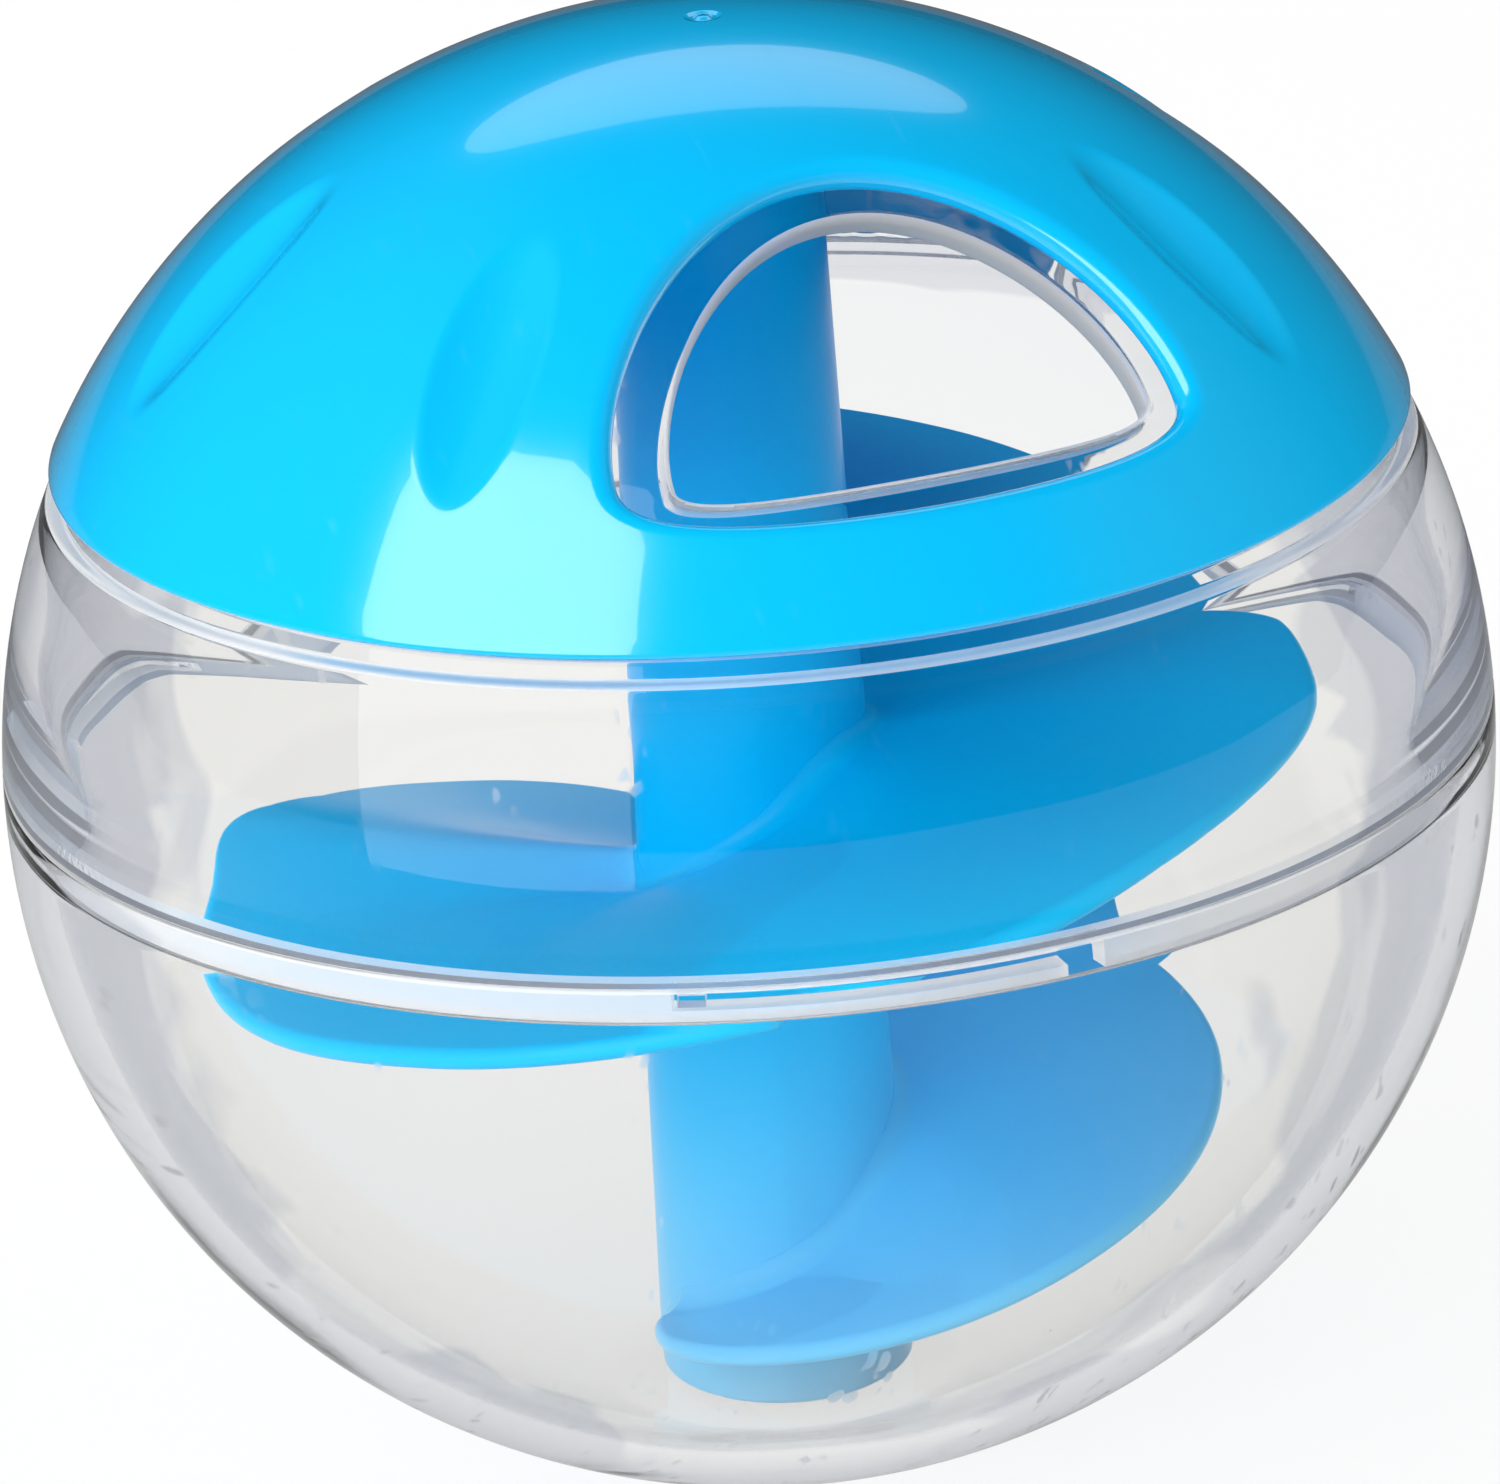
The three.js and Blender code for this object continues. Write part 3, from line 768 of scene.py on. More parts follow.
def cap_depth(direction):
    deepest = 0.0
    for flute_view in flute_views:
        across, along, out = flute_view @ direction * CAP_RADIUS
        if out > 0 and abs(along) < 2 * FLUTE_HALF_LENGTH and abs(across) < 2 * FLUTE_HALF_WIDTH:
            scoop = FLUTE_DEPTH * (1 - (across / FLUTE_HALF_WIDTH) ** 2 - (along / FLUTE_HALF_LENGTH) ** 2)
            blend = max(0.0, FLUTE_EDGE_ROUND - abs(scoop)) / FLUTE_EDGE_ROUND
            deepest = max(deepest, max(scoop, 0.0) + blend**2 * FLUTE_EDGE_ROUND / 4)
    off_axis = math.hypot(direction.x, direction.y) * CAP_RADIUS
    dimple = GATE_DEPTH * (1 - smooth_between(off_axis, GATE_LOOPS[2], GATE_LOOPS[1]))
    nub = GATE_NUB * (1 - smooth_between(off_axis, GATE_LOOPS[4], GATE_LOOPS[3]))
    return deepest + dimple - nub


def flute_loop(turn, size):
    loop = []
    for k in range(FLUTE_LOOP_POINTS):
        angle = 2 * math.pi * k / FLUTE_LOOP_POINTS
        across = size * FLUTE_HALF_WIDTH * math.cos(angle)
        along = size * FLUTE_HALF_LENGTH * math.sin(angle)
        loop.append(unroll(turn @ Vector((across, along, height_on(CAP_RADIUS, math.hypot(across, along))))))
    return loop


print("a flute is", round(cap_depth(flute_turns[0] @ Vector((0, 0, 1))), 2), "mm deep")

# %% [markdown]
# ## The cap
#
# The cap's skin goes from the outer sheet over the rounded edge to the inner sheet, and through the
# opening by a rolled rim. The roll is wide and soft outside, where a cat's paw and the fingers touch it,
# and small inside. A short pivot with a snap head hangs under the middle and holds the cap on the dome.

# %% Cap mesh
OPENING_ROLL = 1.4
INNER_ROLL = 0.3
ROLL_STEPS = 9
CAP_EDGE_ROUND = 0.5
PIVOT_SIDES = 48
PIVOT_HEAD = 1.3
CATCH_ROUND, HEAD_ROUND = 0.2, 0.3
CAP_SPACING, LINING_SPACING = 0.8, 1.3


def rolled_rim(inset, rise, outside, inside, outer_roll, inner_roll, turned=0.0):
    """Rows of an opening's edge, from the outer face over both rolls to the inner face."""
    rows = []
    for turn in np.linspace(0, math.pi / 2, ROLL_STEPS):
        drawn = inset - outer_roll * (1 - math.sin(turn))
        rows.append(opening_row(drawn, rise, outside - outer_roll * (1 - math.cos(turn)), turned))
    for turn in np.linspace(0, math.pi / 2, ROLL_STEPS):
        drawn = inset - inner_roll * (1 - math.cos(turn))
        rows.append(opening_row(drawn, rise, inside + inner_roll * (1 - math.sin(turn)), turned))
    return rows


def on_cap(flat):
    direction = lay_back(flat)
    return direction * (CAP_RADIUS - cap_depth(direction))


def on_sphere(radius):
    return lambda flat: lay_back(flat) * radius


cap = Skin()
edge_profile = soften([
    (distance_on(CAP_RADIUS, CAP_EDGE + 2 * CAP_EDGE_ROUND), CAP_EDGE + 2 * CAP_EDGE_ROUND),
    (distance_on(CAP_RADIUS, CAP_EDGE), CAP_EDGE, CAP_EDGE_ROUND),
    (distance_on(CAP_INSIDE, CAP_EDGE), CAP_EDGE, FIT),
    (distance_on(CAP_INSIDE, CAP_EDGE + CAP_EDGE_ROUND), CAP_EDGE + CAP_EDGE_ROUND),
])
edge_rows = [cap.row(ring(*corner)) for corner in edge_profile]
rim_rows = [cap.row(row) for row in rolled_rim(0, 0, CAP_RADIUS, CAP_INSIDE, OPENING_ROLL, INNER_ROLL)]
head_top = height_on(DOME_INSIDE, PIVOT_HEAD_RADIUS) - FIT
pivot_profile = soften([
    (PIVOT_RADIUS, height_on(CAP_INSIDE, PIVOT_RADIUS)),
    (PIVOT_RADIUS, head_top),
    (PIVOT_HEAD_RADIUS, head_top, CATCH_ROUND),
    (PIVOT_HEAD_RADIUS, head_top - PIVOT_HEAD / 2, HEAD_ROUND),
    (PIVOT_HOLE, head_top - PIVOT_HEAD, HEAD_ROUND),
    (PIVOT_HOLE / 2, head_top - PIVOT_HEAD),
])
pivot_rows = [cap.row(plain_ring(*corner, PIVOT_SIDES)) for corner in pivot_profile]
for rows in (edge_rows, rim_rows, pivot_rows):
    cap.bridge(rows)
cap.close(pivot_rows[-1], (0, 0, head_top - PIVOT_HEAD))

cap_lines = [flute_loop(turn, size) for turn in flute_turns for size in FLUTE_LOOPS]
cap_lines += [[unroll(p) for p in plain_ring(size, CAP_RADIUS, PIVOT_SIDES)] for size in GATE_LOOPS]
add_sheet(cap, edge_rows[0], [rim_rows[0]], cap_lines, CAP_SPACING, on_cap)
lining_holes = [rim_rows[-1], pivot_rows[0]]
add_sheet(cap, edge_rows[-1], lining_holes, [], LINING_SPACING, on_sphere(CAP_INSIDE))
make_piece("turning_cap", mesh_of("turning_cap", cap), "grip_cap", "cap", "cap_blue", cap_blue)

# %% [markdown]
# ## Upper half
#
# The upper half is the clear band under the cap, a small shoulder with a ledge that the cap sits on, the
# dome under the cap, and the spigot that goes into the lower half. Inside the band the wall thickens
# towards the spigot in a long smooth taper, which bends the light at both sides of the band. The profile
# is turned about the axis, and the dome is filled around its opening and the hole for the pivot.

# %% Upper half mesh
SHOULDER_DROP, SHOULDER_STEP = 1.3, 0.7
SHOULDER = LEDGE - SHOULDER_DROP
SHOULDER_ROUND, LEDGE_ROUND = 0.3, 0.25
SEAM_ROUND, SPIGOT_ROUND = 0.18, 0.1
ARC_MARGIN = 0.6
COLLAR_RISE, COLLAR_STEPS = 9.0, 10
COLLAR_TOP = JOINT_HEIGHT + COLLAR_RISE
DOME_FOOT_ROUND = 1.2
DOME_SPACING = 1.1
DOME_OPENING = (2.3, 0.5)
DOME_ROLLS = (0.6, 0.4)
DOME_OPENING_TURN = math.radians(1.6)
STEP_RADIUS = BALL_RADIUS - SHOULDER_STEP
STEP_FOOT = SHOULDER + SHOULDER_ROUND
SLOT_TOP, SLOT_BOTTOM = LUG_TOP + FIT, LUG_BOTTOM - FIT

upper = Skin()
outer_profile = soften([
    (distance_on(DOME_RADIUS, LEDGE + ARC_MARGIN), LEDGE + ARC_MARGIN),
    (distance_on(DOME_RADIUS, LEDGE), LEDGE, LEDGE_ROUND),
    (distance_on(STEP_RADIUS, LEDGE), LEDGE, LEDGE_ROUND),
    (distance_on(STEP_RADIUS, STEP_FOOT), STEP_FOOT, LEDGE_ROUND),
    (distance_on(BALL_RADIUS, STEP_FOOT), STEP_FOOT, SHOULDER_ROUND),
    *arc(BALL_RADIUS, SHOULDER - SHOULDER_ROUND, BAND_BOTTOM + 2 * SEAM_ROUND),
    (distance_on(BALL_RADIUS, BAND_BOTTOM), BAND_BOTTOM, SEAM_ROUND),
    (SPIGOT_OUTSIDE, BAND_BOTTOM, SPIGOT_ROUND),
    (SPIGOT_OUTSIDE, SLOT_TOP),
])
collar_profile = []
for height in np.linspace(COLLAR_TOP, JOINT_HEIGHT, COLLAR_STEPS):
    share = smooth_between(height, JOINT_HEIGHT, COLLAR_TOP)
    plain_wall = distance_on(INSIDE_RADIUS, height)
    collar_profile.append((SPIGOT_INSIDE + (plain_wall - SPIGOT_INSIDE) * share, height))
inner_profile = soften([
    (distance_on(DOME_INSIDE, LEDGE), LEDGE),
    (distance_on(INSIDE_RADIUS, SHOULDER - SHELL_WALL), SHOULDER - SHELL_WALL, DOME_FOOT_ROUND),
    *arc(INSIDE_RADIUS, SHOULDER - 2 * SHELL_WALL, COLLAR_TOP + ARC_MARGIN),
    *collar_profile,
    (SPIGOT_INSIDE, SLOT_TOP),
])
outer_rows = [upper.row(ring(*corner)) for corner in outer_profile]
inner_rows = [upper.row(ring(*corner)) for corner in inner_profile]
dome_rim = [
    upper.row(row)
    for row in rolled_rim(*DOME_OPENING, DOME_RADIUS, DOME_INSIDE, *DOME_ROLLS, DOME_OPENING_TURN)
]
hole_rows = [
    upper.row(plain_ring(PIVOT_HOLE, height_on(radius, PIVOT_HOLE), PIVOT_SIDES))
    for radius in (DOME_RADIUS, DOME_INSIDE)
]
for rows in (outer_rows, inner_rows, dome_rim, hole_rows):
    upper.bridge(rows)
for end, border, radius in ((0, outer_rows, DOME_RADIUS), (-1, inner_rows, DOME_INSIDE)):
    add_sheet(upper, border[0], [dome_rim[end], hole_rows[end]], [], DOME_SPACING, on_sphere(radius))
print("upper half has", len(upper.faces), "faces before its spigot")

# %% [markdown]
# ## Slots of the twist lock
#
# Three L-shaped slots go through the spigot: an upright mouth where a lug enters, and a level run along
# which it is turned and held. The spigot is a ring of cells, two rows high. A cell is left out where a
# slot is, and a wall is put wherever a solid cell meets an empty one, so the slots have clean walls.

# %% Spigot with slots
def in_slot(angle, start, end):
    return (angle - start) % 360 < (end - start)


column_middles = [(a + ((b - a) % 360) / 2) % 360 for a, b in zip(ANGLES, ANGLES[1:] + ANGLES[:1])]
run_solid, mouth_solid = [], []
for angle in column_middles:
    runs = [in_slot(angle, a - half_mouth, a + TWIST + half_mouth) for a in locked_angles]
    mouths = [in_slot(angle, a + TWIST - half_mouth, a + TWIST + half_mouth) for a in locked_angles]
    run_solid.append(not any(runs))
    mouth_solid.append(not any(mouths))

outside = [outer_rows[-1]] + [upper.row(ring(SPIGOT_OUTSIDE, h)) for h in (SLOT_BOTTOM, SPIGOT_BOTTOM)]
lining = [inner_rows[-1]] + [upper.row(ring(SPIGOT_INSIDE, h)) for h in (SLOT_BOTTOM, SPIGOT_BOTTOM)]
levels = [[True] * len(ANGLES), run_solid, mouth_solid, [False] * len(ANGLES)]
for k in range(len(ANGLES)):
    n = (k + 1) % len(ANGLES)
    for tier in (1, 2):
        top, low = tier - 1, tier
        if levels[tier][k]:
            for wall in (outside, lining):
                upper.faces.append((wall[top][k], wall[top][n], wall[low][n], wall[low][k]))
        if levels[tier][k] != levels[tier][k - 1]:
            upper.faces.append((outside[top][k], outside[low][k], lining[low][k], lining[top][k]))
    for level in range(3):
        if levels[level][k] != levels[level + 1][k]:
            upper.faces.append((outside[level][k], outside[level][n], lining[level][n], lining[level][k]))

upper_mesh = mesh_of("upper_half_shell", upper)
finishes = clear, clear_edge_glow
make_piece("upper_half_shell", upper_mesh, "upper_shell", "upper_half", "clear_plastic", *finishes)
finish_edges(upper_mesh, BAND_BOTTOM)
print("cells left out:", run_solid.count(False), "in the runs,", mouth_solid.count(False), "in the mouths")

# %% [markdown]
# ## Lower half
#
# The lower half is a bowl with a small flat to stand on, a thin rim outside the spigot, and a ring boss
# on its floor that the post of the spiral slips over. All of that is one turned profile. The three
# lugs are then pulled inwards out of the rim, by extruding the faces at their places.

# %% Lower half mesh
BOSS_RADIUS, BOSS_HEIGHT, BOSS_WALL = 4.99, 6.0, 1.6
BOSS_ROUND, BOSS_FOOT_ROUND = 0.4, 0.5
FLAT_ROUND, FLAT_RISE = 0.8, 0.4
RIM_ROUND, REBATE_ROUND = 0.12, 0.2
FLOOR_ROUND, FLOOR_RISE = 0.6, 0.5
ON_RIM = 0.05
REBATE_FLOOR = SPIGOT_BOTTOM - SEAM_GAP

lower = Skin()
bowl_profile = soften([
    (STANDING_FLAT / 3, -MIDDLE),
    (2 * STANDING_FLAT / 3, -MIDDLE),
    (STANDING_FLAT, -MIDDLE, FLAT_ROUND),
    *arc(BALL_RADIUS, FLAT_RISE - MIDDLE, 0.0),
    (BALL_RADIUS, RIM_TOP / 2),
    (distance_on(BALL_RADIUS, RIM_TOP), RIM_TOP, SEAM_ROUND),
    (RIM_INSIDE, RIM_TOP, RIM_ROUND),
    (RIM_INSIDE, LUG_TOP),
    (RIM_INSIDE, LUG_BOTTOM),
    (RIM_INSIDE, REBATE_FLOOR, REBATE_ROUND),
    (distance_on(INSIDE_RADIUS, REBATE_FLOOR), REBATE_FLOOR, REBATE_ROUND),
    *arc(INSIDE_RADIUS, REBATE_FLOOR - ARC_MARGIN, FLOOR + FLOOR_RISE),
    (distance_on(INSIDE_RADIUS, FLOOR), FLOOR, FLOOR_ROUND),
    (BOSS_RADIUS, FLOOR, BOSS_FOOT_ROUND),
    (BOSS_RADIUS, FLOOR + BOSS_HEIGHT, BOSS_ROUND),
    (BOSS_RADIUS - BOSS_WALL, FLOOR + BOSS_HEIGHT, BOSS_ROUND),
    (BOSS_RADIUS - BOSS_WALL, FLOOR, BOSS_FOOT_ROUND),
    (BOSS_RADIUS / 3, FLOOR),
])
bowl_rows = [lower.row(ring(*corner)) for corner in bowl_profile]
lower.bridge(bowl_rows)
lower.close(bowl_rows[0], (0, 0, -MIDDLE))
lower.close(bowl_rows[-1], (0, 0, FLOOR))
bowl_mesh = mesh_of("lower_half_shell", lower)

shape = bmesh.new()
shape.from_mesh(bowl_mesh)
lug_faces = []
for face in shape.faces:
    middle = face.calc_center_median() / MM
    angle = math.degrees(math.atan2(middle.y, middle.x))
    beside = min(abs((angle - a + 180) % 360 - 180) for a in locked_angles)
    on_rim = abs(math.hypot(middle.x, middle.y) - RIM_INSIDE) < ON_RIM
    if on_rim and beside < half_lug and LUG_BOTTOM < middle.z - MIDDLE < LUG_TOP:
        lug_faces.append(face)
bowl_faces = set(shape.faces)
pulled = bmesh.ops.extrude_face_region(shape, geom=lug_faces)
bmesh.ops.delete(shape, geom=lug_faces, context="FACES")
for corner in (g for g in pulled["geom"] if isinstance(g, bmesh.types.BMVert)):
    corner.co.xy *= (RIM_INSIDE - LUG_REACH) / RIM_INSIDE
# The extrusion makes the sides of the lugs in no fixed order, so they are put in order of place.
earlier = [face for face in shape.faces if face in bowl_faces]
made = [face for face in shape.faces if face not in bowl_faces]
made.sort(key=lambda face: tuple(face.calc_center_median()))
order = {face: number for number, face in enumerate(earlier + made)}
shape.faces.sort(key=order.get)
bmesh.ops.recalc_face_normals(shape, faces=shape.faces)
shape.to_mesh(bowl_mesh)
shape.free()
bowl_mesh.set_sharp_from_angle(angle=SHARP_ANGLE)
make_piece("lower_half_shell", bowl_mesh, "lower_shell", "lower_half", "clear_plastic", *finishes)
finish_edges(bowl_mesh)
print(len(lug_faces), "faces pulled in for", LUG_COUNT, "lugs")

# %% [markdown]
# ## Spiral
#
# The spiral is a hollow tapered post with a ramp that winds round it for about one and three quarter
# turns, so that treats tumble down it as the ball rolls. The ramp is a row of radial sections that are
# bridged along the climb. Each section has a round edge and flares into the post by a fillet, as a
# moulded corner does. The climb is not even: it dips once at the left, where treats can lie.

# %% Post and ramp
POST_SIDES = 96
POST_FOOT, POST_TIP, POST_WALL = 7.0, 5.6, 1.6
POST_ROUND, BORE_ROUND = 0.4, 0.3
POST_LOW = FLOOR + FIT
POST_HIGH = height_on(DOME_INSIDE, POST_TIP) - FIT
POST_HALFWAY = (POST_LOW + POST_HIGH) / 2
RAMP_START, RAMP_END = math.radians(-165), math.radians(445)
RAMP_HEIGHTS = [
    4.9, 6.8, 9.2, 12.8, 15.2, 17.2, 20.0, 25.2, 29.4, 27.7, 30.0, 33.4, 36.6, 38.0, 39.8, 43.9, 46.3
]
RAMP_RADIUS, RAMP_WALL_GAP = 30.5, 5.0
RAMP_HALF, RAMP_END_ROUND, RAMP_FILLET = 0.6, 5.0, 1.3
RAMP_STEPS = 400
ROUND_POINTS = 7


def ramp_height(along):
    """Height of the ramp's middle, by a smooth curve through the even steps of RAMP_HEIGHTS."""
    last = len(RAMP_HEIGHTS) - 1
    i = min(int(along * last), last - 1)
    w = along * last - i
    a, b, c, d = (RAMP_HEIGHTS[min(max(k, 0), last)] for k in range(i - 1, i + 3))
    lead, trail = (c - a) / 2, (d - b) / 2
    cubic = (2 * b - 2 * c + lead + trail) * w**3
    square = (3 * c - 3 * b - 2 * lead - trail) * w**2
    return FLOOR + cubic + square + lead * w + b


def post_radius(height):
    return POST_FOOT - (POST_FOOT - POST_TIP) * (height - POST_LOW) / (POST_HIGH - POST_LOW)


def ramp_section(along):
    angle = RAMP_START + (RAMP_END - RAMP_START) * along
    height = ramp_height(along)
    post = post_radius(height)
    reach = min(RAMP_RADIUS, distance_on(INSIDE_RADIUS - RAMP_WALL_GAP, height))
    corner = min(RAMP_END_ROUND, (reach - post) / 2)
    to_end = min(angle - RAMP_START, RAMP_END - angle) * reach
    short = max(0.0, corner - to_end)
    edge = reach - corner + math.sqrt(corner**2 - short**2)
    thinned = max(0.0, 1 - to_end / RAMP_HALF)
    half = max(RAMP_HALF * math.sqrt(1 - thinned**2), RAMP_HALF / 4)
    upper_side = [(post - POST_WALL / 2, half + RAMP_FILLET)]
    for turn in np.linspace(0, math.pi / 2, ROUND_POINTS):
        out, up = RAMP_FILLET * (1 - math.cos(turn)), RAMP_FILLET * (1 - math.sin(turn))
        upper_side.append((post + out, half + up))
    for share in (0.25, 0.5, 0.75):
        upper_side.append((post + RAMP_FILLET + (edge - half - post - RAMP_FILLET) * share, half))
    for turn in np.linspace(math.pi / 2, 0, ROUND_POINTS):
        upper_side.append((edge - half + half * math.cos(turn), half * math.sin(turn)))
    outline = upper_side + [(d, -lift) for d, lift in reversed(upper_side[:-1])]
    c, s = math.cos(angle), math.sin(angle)
    return [(d * c, d * s, height + lift) for d, lift in outline]


ramp = Skin()
ramp_rows = [ramp.row(ramp_section(k / RAMP_STEPS)) for k in range(RAMP_STEPS + 1)]
ramp.bridge(ramp_rows)
ramp.faces += [tuple(ramp_rows[0]), tuple(reversed(ramp_rows[-1]))]

post = Skin()
post_profile = soften([
    (POST_FOOT - POST_WALL, POST_HALFWAY),
    (POST_FOOT - POST_WALL, POST_LOW, BORE_ROUND),
    (POST_FOOT, POST_LOW, POST_ROUND),
    (post_radius(POST_LOW / 2), POST_LOW / 2),
    (post_radius(0), 0),
    (post_radius(POST_HIGH / 2), POST_HIGH / 2),
    (POST_TIP, POST_HIGH, POST_ROUND),
    (POST_TIP - POST_WALL, POST_HIGH, BORE_ROUND),
    (post_radius(POST_HALFWAY) - POST_WALL, POST_HALFWAY),
])
post_profile[0] = post_profile[-1]
post.bridge([post.row(plain_ring(*corner, POST_SIDES)) for corner in post_profile])
climb = [round(ramp_height(end) - FLOOR, 1) for end in (0, 1)]
print("ramp climbs from", climb[0], "to", climb[1], "mm above the floor")

# %% [markdown]
# ## Joining the spiral
#
# The ramp's root is sunk half-way into the post's wall, so the two overlap, and a union makes one skin of
# them. The modifier is applied by taking the evaluated mesh, which leaves nothing to be worked out again.

# %% Union of post and ramp
post_body = bpy.data.objects.new("post_body", mesh_of("post_body", post))
ramp_body = bpy.data.objects.new("ramp_body", mesh_of("ramp_body", ramp))
for part in (post_body, ramp_body):
    scene.collection.objects.link(part)
join = post_body.modifiers.new("join", "BOOLEAN")
join.operation = "UNION"
join.solver = "EXACT"
join.object = ramp_body
spiral_mesh = bpy.data.meshes.new_from_object(post_body.evaluated_get(bpy.context.evaluated_depsgraph_get()))
spiral_mesh.name = "spiral"
for part in (post_body, ramp_body):
    bpy.data.objects.remove(part)
spiral_mesh.shade_smooth()
spiral_mesh.set_sharp_from_angle(angle=SHARP_ANGLE)
make_piece("spiral", spiral_mesh, "spiral_maze", "lower_half", "maze_blue", spiral_blue)

# %% [markdown]
# ## Floor
#
# The ball stands on a plain pale floor. The photograph has a white background, so the floor shows
# itself mostly white to the camera and through the clear plastic, by Light Path, and keeps a share of its
# lit surface so that the ball's soft shadow stays. In mirrored rays it is like a small sheet of paper:
# bright near the ball, which lights the bowl's outline, and dark further off, where the cap's edge would
# otherwise mirror it as a pale band.

# %% White floor
FLOOR_HALF = 3.0
FLOOR_PALE, FLOOR_ROUGHNESS = (0.95, 0.95, 0.95), 0.9
SHADOW_SHARE, GLOSSY_SHARE = 0.14, 0.95
FADE_START, FADE_END = 0.09, 0.16
MIRRORED_NEAR, MIRRORED_FAR = 0.5, 0.08
BETWEEN_COUNTS = 0.5
CORNERS = (-1, -1), (1, -1), (1, 1), (-1, 1)


def path_so_far(tree, ray):
    """The first is 1 for a ray straight from the camera, or only through clear plastic.

    The second is 1 for a ray that lights a surface."""
    lighting = math_node(tree, "GREATER_THAN", ray.outputs["Diffuse Depth"], BETWEEN_COUNTS)
    seen = math_node(tree, "MAXIMUM", ray.outputs["Is Camera Ray"], ray.outputs["Is Transmission Ray"])
    turned_back = math_node(tree, "ADD", ray.outputs["Diffuse Depth"], ray.outputs["Glossy Depth"])
    unturned = math_node(tree, "LESS_THAN", turned_back, BETWEEN_COUNTS)
    return math_node(tree, "MULTIPLY", seen, unturned), lighting


floor_mesh = bpy.data.meshes.new("floor")
floor_mesh.from_pydata([(x * FLOOR_HALF, y * FLOOR_HALF, 0) for x, y in CORNERS], [], [(0, 1, 2, 3)])
floor = bpy.data.objects.new("floor", floor_mesh)
scene.collection.objects.link(floor)
pale = bpy.data.materials.new("pale_floor")
pale.use_nodes = True
tree = pale.node_tree
lit = tree.nodes["Principled BSDF"]
lit.inputs["Base Color"].default_value = (*FLOOR_PALE, 1)
lit.inputs["Roughness"].default_value = FLOOR_ROUGHNESS
ray = add_node(tree, "ShaderNodeLightPath")
straight, lighting = path_so_far(tree, ray)
mirrored = math_node(tree, "SUBTRACT", math_node(tree, "SUBTRACT", 1.0, straight), lighting)
seen_share = math_node(tree, "MULTIPLY", straight, 1 - SHADOW_SHARE)
share = math_node(tree, "MAXIMUM", seen_share, math_node(tree, "MULTIPLY", mirrored, GLOSSY_SHARE))

from_ball = add_placed(tree, "ShaderNodeVectorMath", operation="LENGTH").outputs["Value"]
fade = map_node(tree, from_ball, FADE_START, FADE_END, 1 - MIRRORED_NEAR, 1 - MIRRORED_FAR)
off_surface = math_node(
    tree, "GREATER_THAN", ray.outputs["Is Glossy Ray"], ray.outputs["Is Transmission Ray"]
)
dimmed = math_node(tree, "MULTIPLY", off_surface, fade)
white = add_node(tree, "ShaderNodeEmission", Color=(1, 1, 1, 1))
tree.links.new(math_node(tree, "SUBTRACT", 1.0, dimmed), white.inputs["Strength"])
choice = add_node(tree, "ShaderNodeMixShader")
tree.links.new(share, choice.inputs["Fac"])
tree.links.new(lit.outputs[0], choice.inputs[1])
tree.links.new(white.outputs[0], choice.inputs[2])
tree.links.new(choice.outputs[0], tree.nodes["Material Output"].inputs["Surface"])
floor_mesh.materials.append(pale)
print("floor is", 2 * FLOOR_HALF, "m wide")

# %% [markdown]
# ## Lamps
#
# The gloss tells where the light was: a tall window in front on the left, whose reflection lies on the
# cap and the clear band, and a softer oval panel above and behind. A panel on the far left and one on the
# right only fill the shadows and are not mirrored. They are area lamps placed by two angles from the
# camera's direction, so that each reflection falls where the photograph has it.

# %% Studio lamps
LAMP_DISTANCE = 1.2


def add_lamp(name, leftwards, upwards, width, height, glow, shape="RECTANGLE", mirrored=True):
    """Panel seen from the ball at these angles from the camera's direction, with a size in degrees."""
    left, up = math.radians(leftwards), math.radians(upwards)
    level = towards_camera * math.cos(left) - view_right * math.sin(left)
    direction = level * math.cos(up) + view_up * math.sin(up)
    lamp_data = bpy.data.lights.new(name, "AREA")
    lamp_data.shape = shape
    lamp_data.size = 2 * LAMP_DISTANCE * math.tan(math.radians(width / 2))
    lamp_data.size_y = 2 * LAMP_DISTANCE * math.tan(math.radians(height / 2))
    area = lamp_data.size * lamp_data.size_y * (math.pi / 4 if shape == "ELLIPSE" else 1)
    lamp_data.energy = glow * math.pi * area
    lamp = bpy.data.objects.new(name, lamp_data)
    scene.collection.objects.link(lamp)
    across = view_up.cross(direction).normalized()
    upright = direction.cross(across)
    turned = Matrix((across, upright, direction)).transposed().to_4x4()
    lamp.matrix_world = Matrix.Translation(ball_middle + direction * LAMP_DISTANCE) @ turned
    lamp.visible_camera = False
    lamp.visible_transmission = False
    lamp.visible_glossy = mirrored
    print(f"{name}: {lamp_data.size:.2f} by {lamp_data.size_y:.2f} m, {lamp_data.energy:.1f} W")


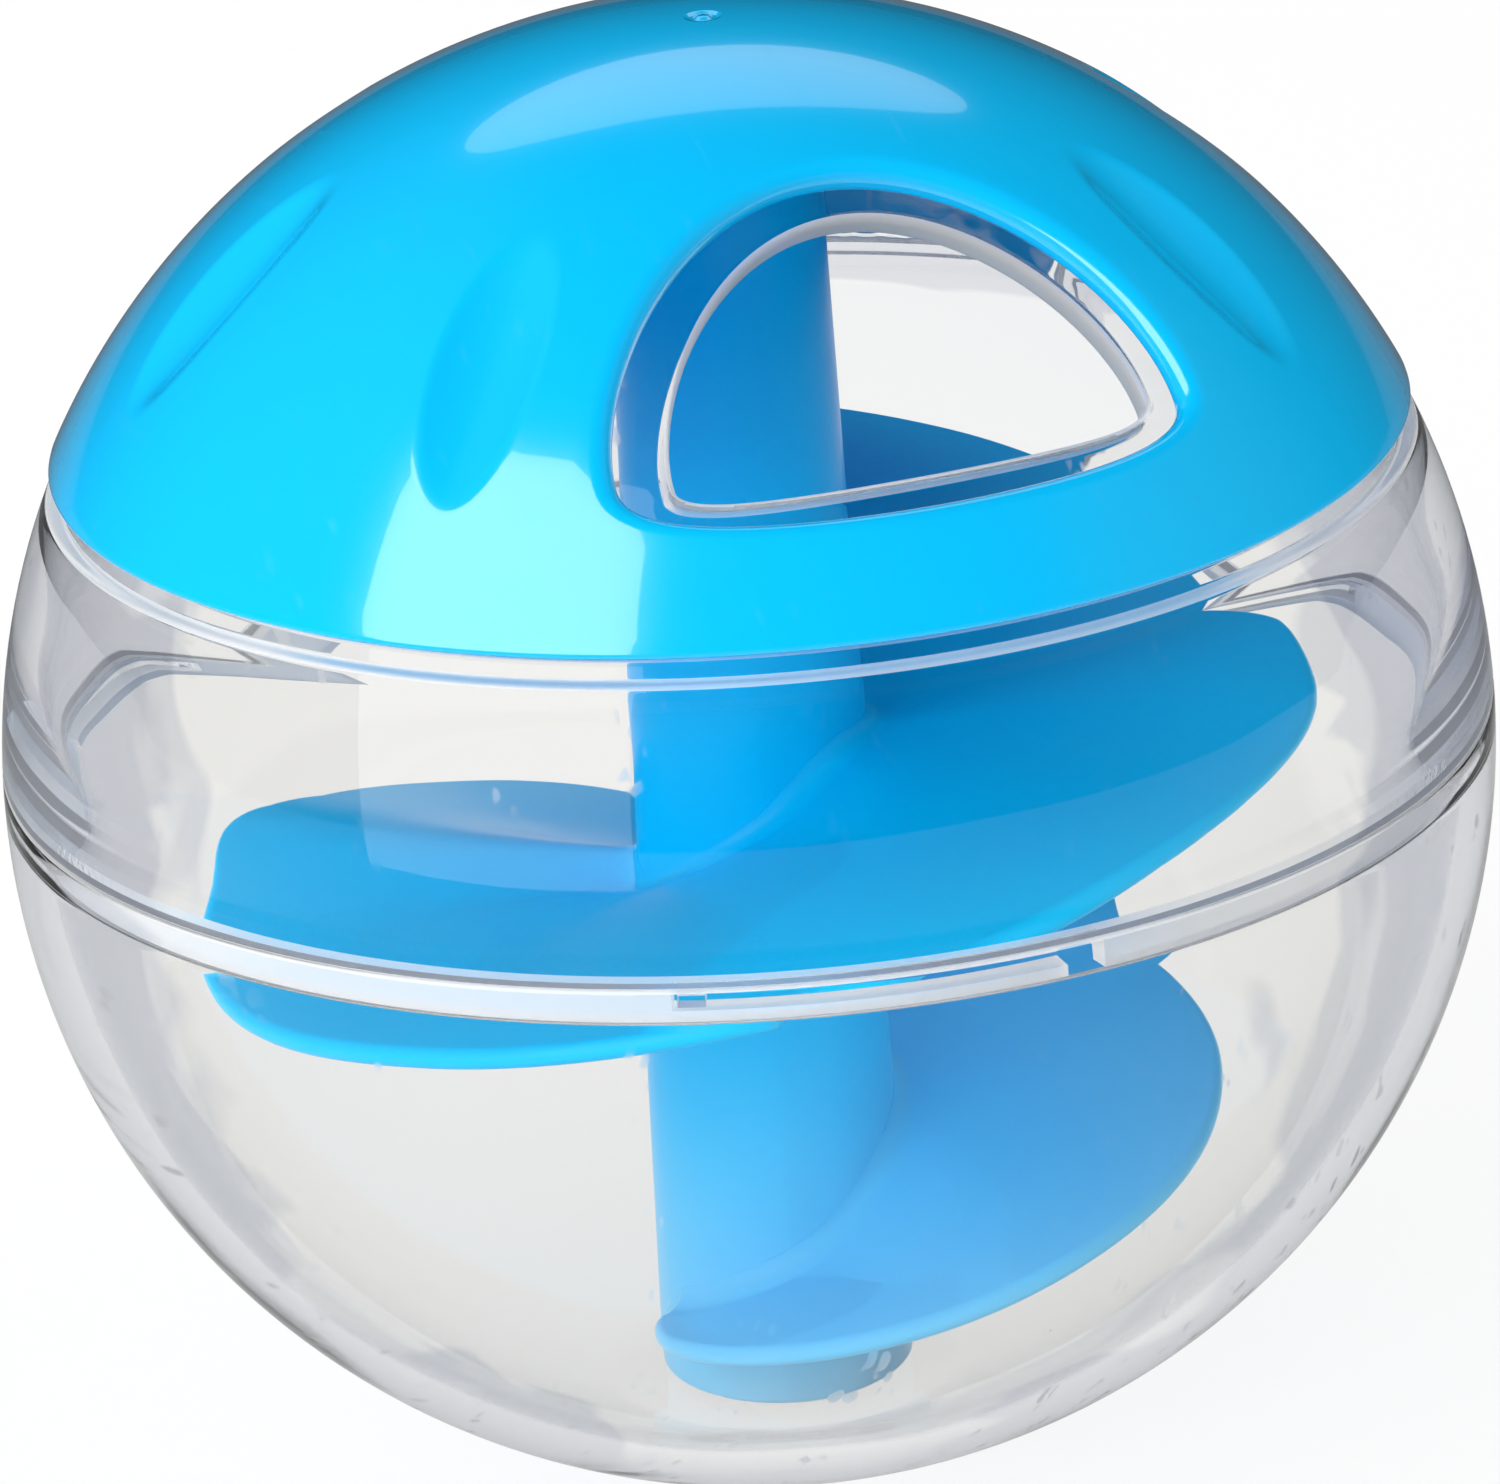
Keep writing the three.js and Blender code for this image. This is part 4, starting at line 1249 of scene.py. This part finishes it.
add_lamp("window", leftwards=38.5, upwards=3, width=43, height=74, glow=4.0)
add_lamp("top_panel", leftwards=-7, upwards=118, width=40, height=20, glow=0.8, shape="ELLIPSE")
add_lamp("left_panel", leftwards=105, upwards=35, width=70, height=60, glow=0.95, mirrored=False)
add_lamp("right_panel", leftwards=-80, upwards=10, width=50, height=80, glow=1.4, mirrored=False)

# %% [markdown]
# ## World
#
# The rest of the studio is a plain grey room that fills the shadows. To the camera and through the clear
# plastic it is white, as in the photograph. In mirrored rays it is a dim room, a little lighter behind
# the ball, which keeps the blue of the cap deep. What is inside the ball gets more of the room's light,
# to make up for what a renderer without caustics loses in the clear walls.

# %% Studio world
ROOM_LIGHT, LIGHT_INSIDE = 0.4, 0.9
DIM_FRONT, DIM_BEHIND = 0.005, 0.015
FRONT_TURN, BEHIND_TURN = 0.3, -0.7

world = bpy.data.worlds.new("studio")
scene.world = world
world.use_nodes = True
tree = world.node_tree
tree.nodes.clear()
facing = add_node(tree, "ShaderNodeVectorMath", operation="DOT_PRODUCT")
tree.links.new(add_node(tree, "ShaderNodeTexCoord").outputs["Generated"], facing.inputs[0])
facing.inputs[1].default_value = towards_camera
dim_room = map_node(tree, facing.outputs["Value"], FRONT_TURN, BEHIND_TURN, DIM_FRONT, DIM_BEHIND)
ray = add_node(tree, "ShaderNodeLightPath")
straight, lighting = path_so_far(tree, ray)
reflected = math_node(tree, "MULTIPLY", dim_room, math_node(tree, "SUBTRACT", 1.0, lighting))
extra = math_node(tree, "MULTIPLY", ray.outputs["Is Transmission Ray"], LIGHT_INSIDE - ROOM_LIGHT)
filling = math_node(tree, "MULTIPLY", lighting, math_node(tree, "ADD", extra, ROOM_LIGHT))
strength = math_node(tree, "MAXIMUM", math_node(tree, "MAXIMUM", straight, reflected), filling)
room = add_node(tree, "ShaderNodeBackground", Color=(1, 1, 1, 1))
tree.links.new(strength, room.inputs["Strength"])
tree.links.new(room.outputs[0], add_node(tree, "ShaderNodeOutputWorld").inputs["Surface"])
print(world.name, "fills the shadows at", ROOM_LIGHT)
